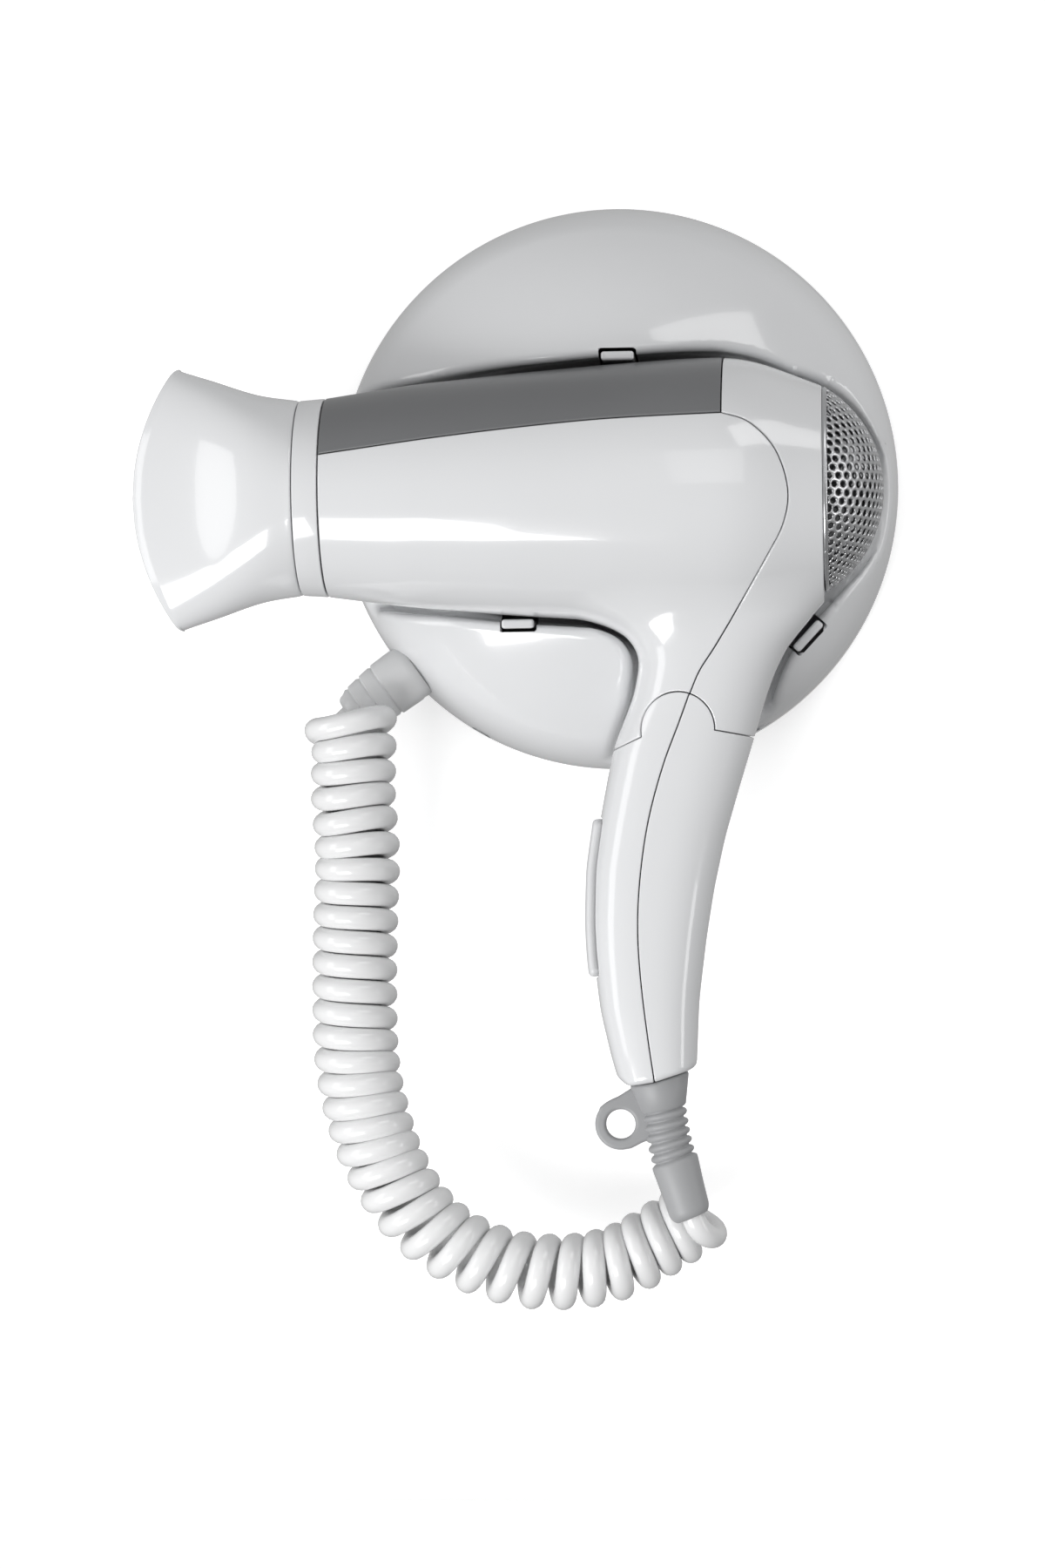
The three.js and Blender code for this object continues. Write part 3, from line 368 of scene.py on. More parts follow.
def rim(faces):
    """The directed edges that only one face has."""
    edges = face_edges(faces)
    _, index, count = np.unique(np.sort(edges, 1), axis=0, return_index=True, return_counts=True)
    return edges[index[count == 1]]


def shell(field, points, faces, cuts, wall, proud=0.0, clear=None):
    """A wall under a surface, inside every cut, with rounded outer edges. Returns points, faces and normals.

    A cut is (field, edge rounding, gap). The wall keeps out of the room where clear is negative, so that what
    moves there has its way.
    """
    points, faces = trimmed(field, points, faces, cuts)
    normal = unit(gradient(field, points))
    depth, lean, upright = np.zeros(len(points)), np.zeros_like(points), np.ones(len(points))
    for cut, radius, gap in cuts:
        inset = np.clip(-gap - cut(points), 0, radius)
        sideways = gradient(cut, points, 0.02)
        sideways = unit(sideways - (sideways * normal).sum(1, keepdims=True) * normal)
        sine = 1 - inset / radius
        cosine = np.sqrt(np.maximum(1 - sine ** 2, 0))
        depth = np.maximum(depth, radius * (1 - cosine))
        lean += sideways * sine[:, None]
        upright *= cosine
    outer = points + normal * (proud - depth)[:, None]
    inner = points - normal * np.maximum(wall, depth + LEAST_WALL)[:, None]
    for _ in range(3 if clear else 0):
        for side in (outer, inner):
            side += gradient(clear, side) * np.maximum(CLEAR_MARGIN - clear(side), 0)[:, None]
    n = len(points)
    edge = rim(faces)
    a, b = edge.T
    walls = np.vstack([np.stack([b, a, a + n], 1), np.stack([b, a + n, b + n], 1)])
    outer_normal = unit(normal * upright[:, None] + lean)
    return (np.vstack([outer, inner]), np.vstack([faces, faces[:, ::-1] + n, walls]),
        np.vstack([outer_normal, -normal]))


# ---- making objects ----


def make(name, body, slot, material, points, faces, normals=None, node=None):
    """A mesh object in metres that rides on a body and takes a CAD node's place."""
    mesh = bpy.data.meshes.new(name)
    faces = faces if isinstance(faces, list) else faces.tolist()
    mesh.from_pydata((np.asarray(points) * MM).tolist(), [], faces)
    mesh.update()
    mesh.polygons.foreach_set("use_smooth", np.ones(len(mesh.polygons), bool))
    if normals is not None:
        mesh.normals_split_custom_set_from_vertices(np.asarray(normals).tolist())
    mesh.materials.append(material)
    piece = bpy.data.objects.new(name, mesh)
    bpy.context.scene.collection.objects.link(piece)
    if body:
        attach(piece, body)
    if node:
        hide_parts(node)
    return piece


def rings_mesh(rings, closed=False):
    """Points and quads through rings of the same number of points, with capped ends unless it closes."""
    rings = np.array(rings)
    k, n = rings.shape[:2]
    i, j = np.meshgrid(np.arange(k if closed else k - 1), np.arange(n), indexing="ij")
    i, j = i.ravel(), j.ravel()
    nxt, side = (i + 1) % k, (j + 1) % n
    faces = np.stack([i * n + j, i * n + side, nxt * n + side, nxt * n + j], 1).tolist()
    if not closed:
        faces += [list(range(n))[::-1], list(range((k - 1) * n, k * n))]
    return rings.reshape(-1, 3), faces


def ring_about(centre, way, across, radius, sides):
    """A circle of points about a centre, square to a way."""
    other = np.cross(way, across)
    angle = np.linspace(0, 2 * np.pi, sides, endpoint=False)[:, None]
    return centre + radius * (np.cos(angle) * across + np.sin(angle) * other)


def turned(profile, origin, way, sides, closed=True):
    """A profile of (along, radius) turned about a line."""
    way = unit(np.array(way, float))
    across = unit(np.cross(way, (0.3, 1, 0.2)))
    rings = [ring_about(np.array(origin) + way * a, way, across, r, sides) for a, r in profile]
    return rings_mesh(rings, closed)


def softened(corners, radius, steps=4, closed=True):
    """A profile with each corner rounded. A corner is (x, y) or (x, y, its own radius)."""
    pts = [np.array(c[:2], float) for c in corners]
    out = []
    for i, p in enumerate(pts):
        if not closed and i in (0, len(pts) - 1):
            out.append(tuple(p))
            continue
        a, b = pts[i - 1] - p, pts[(i + 1) % len(pts)] - p
        own = corners[i][2] if len(corners[i]) > 2 else radius
        own = min(own, 0.45 * np.linalg.norm(a), 0.45 * np.linalg.norm(b))
        start, end = p + unit(a) * own, p + unit(b) * own
        for t in np.linspace(0, 1, steps + 1):
            out.append(tuple((1 - t) ** 2 * start + 2 * t * (1 - t) * p + t ** 2 * end))
    return out


# ---- materials ----


COAT_ROUGHNESS = 0.04
GLOSS_DRIFT = 0.18
GRAIN_HEIGHT = 0.0002


def finish(name, colour, roughness, bump=0.05, grain=900, vary=0.03, vary_scale=18,
        metallic=0.0, coat=0.0):
    """A procedural finish: slow colour and gloss drift from moulding, with a fine surface grain."""
    material = bpy.data.materials.new(name)
    material.use_nodes = True
    nodes, links = material.node_tree.nodes, material.node_tree.links
    shader = nodes["Principled BSDF"]
    shader.inputs["Metallic"].default_value = metallic
    if coat:
        shader.inputs["Coat Weight"].default_value = coat
        shader.inputs["Coat Roughness"].default_value = COAT_ROUGHNESS
    place = nodes.new("ShaderNodeTexCoord")

    def noise(scale, detail):
        node = nodes.new("ShaderNodeTexNoise")
        node.inputs["Scale"].default_value = scale
        node.inputs["Detail"].default_value = detail
        links.new(place.outputs["Object"], node.inputs["Vector"])
        return node.outputs["Fac"]

    drift = noise(vary_scale, 3)
    ramp = nodes.new("ShaderNodeValToRGB")
    for element, share in zip(ramp.color_ramp.elements, (-1, 1)):
        element.position = 0.5 + 0.2 * share
        element.color = (*[min(1, c * (1 + vary * share)) for c in colour], 1)
    links.new(drift, ramp.inputs["Fac"])
    links.new(ramp.outputs["Color"], shader.inputs["Base Color"])
    gloss = nodes.new("ShaderNodeMapRange")
    gloss.inputs["To Min"].default_value = roughness * (1 - GLOSS_DRIFT)
    gloss.inputs["To Max"].default_value = roughness * (1 + GLOSS_DRIFT)
    links.new(drift, gloss.inputs["Value"])
    links.new(gloss.outputs["Result"], shader.inputs["Roughness"])
    relief = nodes.new("ShaderNodeBump")
    relief.inputs["Strength"].default_value = bump
    relief.inputs["Distance"].default_value = GRAIN_HEIGHT
    links.new(noise(grain, 4), relief.inputs["Height"])
    links.new(relief.outputs["Normal"], shader.inputs["Normal"])
    return material


WHITE = finish("white_gloss_plastic", (0.75, 0.757, 0.768), 0.16,
    bump=0.02, grain=260, vary=0.008, coat=0.6)
TRIM_GREY = finish("dark_grey_satin_plastic", (0.17, 0.173, 0.178), 0.3, bump=0.06, vary=0.04)
BOOT_GREY = finish("grey_rubber", (0.36, 0.364, 0.372), 0.46, bump=0.12, vary=0.04)
SOFT_WHITE = finish("white_soft_plastic", (0.82, 0.825, 0.83), 0.3, vary=0.012)
CORD_WHITE = finish("white_cord_jacket", (0.82, 0.822, 0.825), 0.2,
    bump=0.03, grain=500, vary=0.01, coat=0.4)
PADDLE_GREY = finish("pale_grey_plastic", (0.68, 0.685, 0.695), 0.3, vary=0.015)
PLATE_GREY = finish("pale_grey_matt_plastic", (0.56, 0.565, 0.575), 0.5, bump=0.18, grain=1400)
GRILLE_METAL = finish("grille_metal", (0.56, 0.565, 0.575), 0.27,
    bump=0.06, grain=1500, metallic=0.9, vary=0.05)
STEEL = finish("screw_steel", (0.52, 0.53, 0.54), 0.32,
    bump=0.1, grain=2000, metallic=1, vary=0.08)
BLACK = finish("black_plastic", (0.025, 0.025, 0.027), 0.42, bump=0.15, grain=1600, vary=0.1)
MICA = finish("mica_sheet", (0.58, 0.47, 0.28), 0.5,
    bump=0.3, grain=350, vary=0.16, vary_scale=90)
HOT_WIRE = finish("resistance_wire", (0.55, 0.42, 0.33), 0.36,
    bump=0.2, grain=1500, metallic=1, vary=0.12)
BLUE_WIRE = finish("blue_insulation", (0.05, 0.15, 0.42), 0.38, bump=0.08, vary=0.05)
BROWN_WIRE = finish("brown_insulation", (0.19, 0.075, 0.03), 0.38, bump=0.08, vary=0.05)

INNER_FINISHES = [
    (PLATE_GREY, ["back_plate"]),
    (STEEL, ["cover_screw_left", "cover_screw_right", "handle_screw", "thermostat", "thermal_fuse", "motor",
        "motor_shaft"]),
    (BLACK, ["terminal_block", "parking_switch", "outlet_grille", "fan_housing", "fan_impeller",
        "switch_body", "suppressor", "inlet_filter"]),
    (BOOT_GREY, ["cradle_plunger", "holder_cord_clamp", "cord_clamp"]),
    (CORD_WHITE, ["holder_inner_lead", "inner_cord"]),
    (MICA, ["heater_sleeve", "mica_board_upright", "mica_board_level", "diode_board"]),
    (HOT_WIRE, [f"heater_coil_{number}" for number in range(1, 6)]),
    (BLUE_WIRE, ["mains_wire"]),
    (BROWN_WIRE, ["switch_wire", "heater_wire"]),
]


def dress_cad_nodes():
    """Every CAD node that stays in sight gets its own procedural finish."""
    for material, names in INNER_FINISHES:
        for name in names:
            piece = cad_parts[name]
            piece.data.materials.clear()
            piece.data.materials.append(material)


# ---- the dryer's casing ----

barrel_radius = eased(BARREL, 3.0)
grip_front = eased(GRIP_FRONT, 2.2)
grip_rear = eased(GRIP_REAR, 2.6)
grip_depth = eased(GRIP_DEPTH, 5.0)
foot_line = outline([(-120, -172), *HANDLE_FOOT, (120, -163), (120, 80), (-120, 80)])


def barrel_field(p):
    return np.hypot(p[:, 1] - AXIS_Y, p[:, 2] - AXIS_Z) - barrel_radius(p[:, 0])


def grip_field(p, grow=0.0, open_front=False):
    """The neck and handle, whose section is a squared ellipse at every height."""
    z = np.minimum(p[:, 2], GRIP_PROFILE_TOP)
    front, rear = grip_front(z) - grow, grip_rear(z) + grow
    half, depth = (rear - front) / 2, grip_depth(z) + grow
    y = p[:, 1] - AXIS_Y
    if open_front:
        y = np.maximum(y, 0)
    u, v = np.abs((p[:, 0] - front) / half - 1), np.abs(y) / depth
    squared = (u ** GRIP_SQUARENESS + v ** GRIP_SQUARENESS + 1e-9) ** (1 / GRIP_SQUARENESS)
    return (squared - 1) * np.minimum(half, depth)


def casing_field(p):
    """The whole dryer's outside, from the barrel's front to the handle's foot."""
    grip = both(grip_field(p), p[:, 2] - GRIP_TOP)
    body = either(barrel_field(p), grip, NECK_FILLET)
    foot = foot_line(p) if p[:, 2].min() < ABOVE_FOOT else np.full(len(p), FAR_INSIDE)
    return both(body, foot, FOOT_ROUNDING)


def arc_point(angle):
    return ARC_CENTRE[0] + ARC_R * math.cos(angle), ARC_CENTRE[1] + ARC_R * math.sin(angle)


arc = [arc_point(angle) for angle in np.linspace(np.pi, 0, ARC_STEPS + 1)]
seam_meets_arc = arc_point(math.radians(SEAM_MEETS_ARC_AT))
arc_split = round((180 - SEAM_MEETS_ARC_AT) / 180 * ARC_STEPS)
seam = catmull([*SHELL_SEAM, seam_meets_arc], 8)
handle_seam = catmull(HANDLE_SEAM, 6)
trim_edge = catmull(TRIM_EDGE, 6)
seam_corners = [seam_meets_arc, SHOULDER_FRONT[-1], SHOULDER_REAR[0], TRIM_CORNER]

trim_region = outline([*trim_edge, (TRIM_CORNER[0], REGION_TOP), (REGION_LEFT, REGION_TOP)])
front_region = outline([*trim_edge, *seam[1:], *arc[:arc_split][::-1], *SHOULDER_FRONT[::-1],
    (REGION_LEFT, SHOULDER_FRONT[0][1])])
rear_region = outline([(TRIM_CORNER[0], REGION_TOP), *seam, *arc[arc_split + 1:], *SHOULDER_REAR,
    (REGION_RIGHT, REGION_TOP)])
handle_region = outline([*SHOULDER_FRONT, *arc, *SHOULDER_REAR, (REGION_RIGHT, REGION_BOTTOM),
    (SHOULDER_FRONT[0][0], REGION_BOTTOM)])
front_half = outline([*handle_seam, (-60, HANDLE_SEAM[-1][1]), (-60, HANDLE_SEAM[0][1])])


def slot_field(p):
    """The paddle's opening in the front of the handle, with round corners, negative inside."""
    half, corner = PADDLE["half"] + PADDLE["gap"], PADDLE["corner"]
    middle = (PADDLE["top"] + PADDLE["bottom"]) / 2
    reach = (PADDLE["top"] - PADDLE["bottom"]) / 2 + PADDLE["gap"]
    y, z = np.abs(p[:, 1] - AXIS_Y) - half + corner, np.abs(p[:, 2] - middle) - reach + corner
    round_box = np.hypot(np.maximum(y, 0), np.maximum(z, 0)) + np.minimum(np.maximum(y, z), 0) - corner
    return np.maximum(round_box, p[:, 0] - SLOT_BACK)


def relief_hole_field(p):
    """Outside the strain relief's hole in the foot."""
    reach = np.hypot(p[:, 0] - RELIEF_PATH[0][0], p[:, 1] - AXIS_Y)
    return np.where(p[:, 2] < RELIEF_HOLE_TOP, RELIEF_HOLE_R - reach, FAR_INSIDE)


def refined(field, points, faces, corners, reach):
    """The same surface with short edges near corners seen from the front, so that cuts there stay sharp."""
    for longest in (1.2, 0.7, 0.4):
        edges = np.unique(np.sort(face_edges(faces), 1), axis=0)
        start, end = points[edges[:, 0]], points[edges[:, 1]]
        middle = 0.5 * (start + end)
        away = np.min([np.hypot(middle[:, 0] - x, middle[:, 2] - z) for x, z in corners], axis=0)
        chosen = (away < reach) & (np.linalg.norm(start - end, axis=1) > longest)
        number = {tuple(edge): len(points) + i for i, edge in enumerate(edges[chosen].tolist())}
        added = settle(field, middle[chosen], 2, 0.5)
        points = np.vstack([points, added])
        out = []
        touched = np.zeros(len(points), bool)
        touched[edges[chosen].ravel()] = True
        work = touched[faces].sum(1) >= 2
        for a, b, c in faces[work].tolist():
            m = [number.get((min(u, v), max(u, v))) for u, v in ((a, b), (b, c), (c, a))]
            count = 3 - m.count(None)
            if count == 0:
                out.append((a, b, c))
                continue
            turn = (m.index(None) + 1) % 3 if count == 2 else [k for k in range(3) if m[k] is not None][0]
            a, b, c = ((a, b, c) * 2)[turn:turn + 3]
            ab, bc, ca = (m * 2)[turn:turn + 3]
            if count == 1:
                out += [(a, ab, c), (ab, b, c)]
            elif count == 2:
                out += [(a, ab, c), (ab, bc, c), (ab, b, bc)]
            else:
                out += [(a, ab, ca), (ab, b, bc), (ca, bc, c), (ab, bc, ca)]
        faces = np.vstack([faces[~work], np.array(out, int).reshape(-1, 3)])
    return points, faces


def seamed(*fields):
    """Cuts with the casing's own seam gap and edge rounding."""
    return [(field, SEAM_ROUNDING, SEAM_HALF_GAP) for field in fields]


def casing_piece(name, base, cuts, node, material=WHITE, slot="white_plastic", clear=None):
    make(name, "dryer", slot, material, *shell(casing_field, *base, cuts, SHELL_WALL, clear=clear), node)


def build_casing():
    step = 1.35
    base = surface(casing_field, (-86, AXIS_Y - 43, -180), (66, AXIS_Y + 43, 40), step)
    base = refined(casing_field, *base, seam_corners, 3.5)
    from_front, from_rear = (lambda p: BARREL_FRONT - p[:, 0]), (lambda p: p[:, 0] - BARREL_REAR)
    end = [(from_front, 0.5, 0.05)]
    casing_piece("barrel_front_shell", base, [*seamed(front_region), *end], "barrel_shell")
    casing_piece("barrel_top_trim", base, [*seamed(trim_region), *end], "top_trim", TRIM_GREY,
        "dark_grey_plastic")
    casing_piece("barrel_rear_shell", base, [*seamed(rear_region), (from_rear, 0.6, 0.1)], "rear_shell")
    not_slot = lambda p: -slot_field(p)
    casing_piece("handle_front_half", base, seamed(handle_region, front_half, not_slot, relief_hole_field),
        "handle_front", clear=slot_field)
    rear_half = lambda p: -front_half(p)
    casing_piece("handle_rear_half", base, seamed(handle_region, rear_half, relief_hole_field), "handle_rear")
    pad_cut = lambda p: slot_field(p) + PADDLE["gap"] - SEAM_HALF_GAP
    beside_slot = lambda p: -slot_field(p) - PADDLE["gap"] / 2
    pad_cuts = [(pad_cut, PADDLE["rounding"], SEAM_HALF_GAP)]
    pad = shell(casing_field, *base, pad_cuts, PADDLE["wall"], PADDLE["proud"], beside_slot)
    make("press_paddle", "paddle", "light_grey_plastic", PADDLE_GREY, *pad, "switch_paddle")


# ---- the holder ----

ROOM_BARREL_END, ROOM_REAR_START, ROOM_GRIP_TOP, ROOM_FILLET = 62, 55, -20, 4
MOUTH_ROUNDING, MOUTH_FILLET = 2, 1.5


def cap_field(p):
    """The sphere that the dome's face is part of."""
    return np.sqrt(p[:, 0] ** 2 + p[:, 2] ** 2 + (p[:, 1] + DOME_H - CAP_R) ** 2) - CAP_R


def dome_field(p):
    return both(cap_field(p), np.hypot(p[:, 0], p[:, 2]) - DOME_R, DOME_EDGE_ROUNDING)


def dryer_room_field(p, c):
    """The room that the parked dryer and its way out to the front need, wider than the dryer by c."""
    deep = np.maximum(p[:, 1] - AXIS_Y, 0)
    r = np.hypot(deep, p[:, 2] - AXIS_Z)
    barrel = r - barrel_radius(np.minimum(p[:, 0], ROOM_BARREL_END)) - c
    barrel = np.maximum(barrel, p[:, 0] - ROOM_BARREL_END)
    rear = np.hypot(p[:, 0] - GRILLE_CENTRE_X, r) - GRILLE_R - c
    rear = np.maximum(rear, ROOM_REAR_START - p[:, 0])
    grip = both(grip_field(p, c, open_front=True), p[:, 2] - ROOM_GRIP_TOP)
    return either(np.minimum(barrel, rear), grip, ROOM_FILLET)


def channel_field(p):
    """The dryer's room, with straight walls where it meets the dome's surface."""
    at_axis = np.stack([p[:, 0], np.full(len(p), AXIS_Y), p[:, 2]], 1)
    walls = dryer_room_field(at_axis, MOUTH_CLEARANCE)
    floor = np.maximum(-MOUTH_DEPTH - cap_field(p), p[:, 1] - MOUTH_BACK)
    mouth = both(walls, floor, MOUTH_ROUNDING)
    return either(dryer_room_field(p, PARK_CLEARANCE), mouth, MOUTH_FILLET)


def cover_field(p):
    return both(dome_field(p), -channel_field(p), LIP_ROUNDING)


def tab_place(seat, p):
    """Across, outward and depth of points in a snap tab's own directions."""
    ox, oz = seat["out"]
    x, z = p[:, 0] - seat["x"], p[:, 2] - seat["z"]
    return x * oz - z * ox, x * ox + z * oz, p[:, 1]


def notch_field(seat):
    """Outside the notch that a snap tab flexes in."""
    def field(p):
        across, outward, y = tab_place(seat, p)
        sides = np.abs(across) - seat["half"] - TAB_NOTCH
        out = np.maximum(outward - TAB_T - TAB_TRAVEL_ROOM, -TAB_NOTCH_INWARD - outward)
        return -np.maximum(np.maximum(sides, out), y - TAB_ROOT - TAB_ROOT_GAP)
    return field


def passage_field(p):
    """Outside the strain relief's hole in the side of the cover."""
    from_axis = p - HOLDER_RELIEF_FROM
    along = from_axis @ HOLDER_RELIEF_WAY
    away = np.linalg.norm(from_axis - along[:, None] * HOLDER_RELIEF_WAY, axis=1)
    return np.where(along > -PASSAGE_DEPTH, PASSAGE_R - away, FAR_INSIDE)


def plunger_hole_field(p):
    """Outside the parking plunger's hole in the channel's floor."""
    low, high = box_mm("cradle_plunger")
    return PLUNGER_HOLE_R - np.hypot(p[:, 0] - (low[0] + high[0]) / 2, p[:, 2] - (low[2] + high[2]) / 2)


def build_cover():
    step = 1.3
    base = surface(cover_field, (-86, -64, -86), (86, 3, 86), step)
    back = lambda p: p[:, 1] - COVER_BACK
    notches = [notch_field(seat) for seat in TAB_SEATS.values()]
    holes = [(field, HOLE_EDGE_ROUNDING, 0) for field in (passage_field, plunger_hole_field, *notches)]
    tab_rooms = lambda p: np.min([-notch(p) for notch in notches], axis=0) - TAB_ROOM_MARGIN
    cover = shell(cover_field, *base, [(back, COVER_EDGE_ROUNDING, 0), *holes], COVER_WALL, clear=tab_rooms)
    make("holder_dome_cover", "holder", "white_plastic", WHITE, *cover, "holder_cover")


def build_tab(name, seat):
    """A snap tongue with rounded edges."""
    half_y, middle_y = (TAB_ROOT - seat["tip"]) / 2, (TAB_ROOT + seat["tip"]) / 2

    def field(p):
        across, outward, y = tab_place(seat, p)
        box = np.stack([np.abs(across) - seat["half"], np.abs(outward - TAB_T / 2) - TAB_T / 2,
            np.abs(y - middle_y) - half_y]) + TAB_ROUNDING
        return np.linalg.norm(np.maximum(box, 0), axis=0) + np.minimum(box.max(0), 0) - TAB_ROUNDING

    ox, oz = seat["out"]
    middle = np.array([seat["x"] + ox * TAB_T / 2, middle_y, seat["z"] + oz * TAB_T / 2])
    reach = np.array([8, half_y + 2, 8])
    points, faces = surface(field, middle - reach, middle + reach, 0.6)
    normals = unit(gradient(field, points))
    make(f"snap_tongue_{name}", f"tab_{name}", "white_plastic", WHITE, points, faces, normals,
        f"snap_tab_{name}")


# ---- nozzle, ring and grille ----


def nozzle_rings():
    """Rings of the flared nozzle: outside, round the rim, and back along the inside to the spigot."""
    line = catmull(NOZZLE, 11)
    at = np.linspace(0, 1, len(line))
    between = np.linspace(0, 1, NOZZLE_STEPS + 1)[1:-1]
    angle = np.linspace(0, 2 * np.pi, NOZZLE_SIDES, endpoint=False)
    c, s = np.cos(angle), np.sin(angle)

    def ring(t, grow, past=0.0):
        x, high, deep = (np.interp(t, at, line[:, k]) for k in range(3))
        power = 2 / (2 + NOZZLE_SQUARENESS * t)
        z = (high + grow) * np.sign(s) * np.abs(s) ** power
        y = (deep + grow) * np.sign(c) * np.abs(c) ** power
        bow = t ** 2 * NOZZLE_BOW * np.maximum(0, 1 - (z / NOZZLE[-1][1]) ** 2)
        return np.stack([x - bow - past, AXIS_Y + y, AXIS_Z + z], 1)

    def circle(past_back, radius):
        x = NOZZLE[0][0] + past_back
        return np.stack([np.full(NOZZLE_SIDES, x), AXIS_Y + radius * c, AXIS_Z + radius * s], 1)

    r = NOZZLE_WALL / 2
    rings = [ring(0, -0.6), ring(0, -0.15, 0.12), ring(0, 0, 0.5)]
    rings += [ring(t, 0) for t in between]
    rings += [ring(1, -r + r * math.cos(a), r * math.sin(a) - r) for a in np.linspace(0, np.pi, 9)]
    rings += [ring(t, -NOZZLE_WALL) for t in between[::-1]]
    tip = SPIGOT_LENGTH + 0.4
    spigot = [(-2, 25.6), (-2.2, SPIGOT_BORE), (SPIGOT_LENGTH, SPIGOT_BORE), (tip, SPIGOT_BORE + 0.4),
        (tip, SPIGOT_R - 0.4), (SPIGOT_LENGTH, SPIGOT_R), (0.1, SPIGOT_R), (0, SPIGOT_R + 0.1)]
    return rings + [circle(*place) for place in spigot]


def build_nozzle():
    points, faces = rings_mesh(nozzle_rings(), closed=True)
    make("flared_nozzle", "nozzle", "white_plastic", WHITE, points, faces, node="nozzle")


def build_ring():
    """The collar at the barrel's mouth, with a step that plugs into the barrel."""
    profile = [(-89.5, 24.8, 0.3), (-89.5, 28.2, 0.45), (-82.3, 28.7, 0.45), (-82.3, 26.4, 0.2),
        (-77, 26.4, 0.4), (-77, 24.8, 0.4)]
    points, faces = turned(softened(profile, 0.4), (0, AXIS_Y, AXIS_Z), (1, 0, 0), 128)
    make("outlet_collar", "dryer", "white_plastic", WHITE, points, faces, node="front_ring")


def build_grille():
    """A perforated metal dome: hexagons with a round hole each, wrapped on a sphere, and a narrow rim."""
    pitch, hole, thick, bevel, sides = 3.2, 1.05, 0.7, 0.24, 12
    row_pitch = pitch * math.sqrt(0.75)
    edge_angle = math.acos((BARREL_REAR + 0.3 - GRILLE_CENTRE_X) / GRILLE_R)
    reach = GRILLE_R * edge_angle
    angles = [2 * math.pi * i / sides for i in range(sides)]
    key, points, faces, sunk = {}, [], [], set()

    def corner(x, y):
        k = (round(x * 1000), round(y * 1000))
        if k not in key:
            key[k] = len(points)
            points.append((x, y))
        return key[k]

    rows = int(reach / row_pitch) + 1
    for row in range(-rows, rows + 1):
        for column in range(-rows - 2, rows + 3):
            x, y = (column + 0.5 * (row % 2)) * pitch, row * row_pitch
            if math.hypot(x, y) > reach - 0.3 * pitch:
                continue
            hexagon = [pitch / 2 / math.cos((a + math.pi / 6) % (math.pi / 3) - math.pi / 6) for a in angles]
            rings = [[corner(x + r * math.cos(a), y + r * math.sin(a)) for a, r in zip(angles, radii)]
                for radii in (hexagon, [hole + bevel] * sides, [hole] * sides)]
            sunk.update(rings[-1])
            for out, inn in zip(rings, rings[1:]):
                faces += [(out[i], out[(i + 1) % sides], inn[(i + 1) % sides], inn[i]) for i in range(sides)]
    flat = np.array(points)
    drop = np.zeros(len(points))
    drop[sorted(sunk)] = bevel
    size, turn = np.linalg.norm(flat, axis=1), np.arctan2(flat[:, 1], flat[:, 0])

    def on_sphere(distance, turn, radius):
        a = distance / GRILLE_R
        return np.stack([GRILLE_CENTRE_X + radius * np.cos(a), AXIS_Y + radius * np.sin(a) * np.cos(turn),
            AXIS_Z + radius * np.sin(a) * np.sin(turn)], 1)

    outer, inner = on_sphere(size, turn, GRILLE_R - drop), on_sphere(size, turn, GRILLE_R - thick)
    n = len(outer)
    triangles = [t for f in faces for t in ((f[0], f[1], f[2]), (f[0], f[2], f[3]))]
    edge = rim(np.array(triangles))
    walls = [(b, a, a + n, b + n) for a, b in edge.tolist()]
    solid = [*faces, *[tuple(v + n for v in f[::-1]) for f in faces], *walls]
    band = []
    for proud, past in ((-0.15 - thick, -0.024), (0.02, -0.028), (0.12, -0.02), (0.1, -0.005), (-0.3, 0.01),
            (-0.6 - thick, 0)):
        radius, a = GRILLE_R + proud, edge_angle + past
        band.append((GRILLE_CENTRE_X + radius * math.cos(a), radius * math.sin(a)))
    band_points, band_faces = turned(band, (0, AXIS_Y, AXIS_Z), (1, 0, 0), 120)
    solid += [tuple(v + 2 * n for v in f) for f in band_faces]
    points = np.vstack([outer, inner, band_points])
    make("inlet_grille_dome", "dryer", "grille_steel", GRILLE_METAL, points, solid, node="rear_grille")


# ---- strain reliefs ----


def quarter_round(steps, first=0.0):
    """Sine and 1 - cosine of even angles up to a right angle."""
    return [(math.sin(a), 1 - math.cos(a)) for a in np.linspace(first, np.pi / 2, steps)]


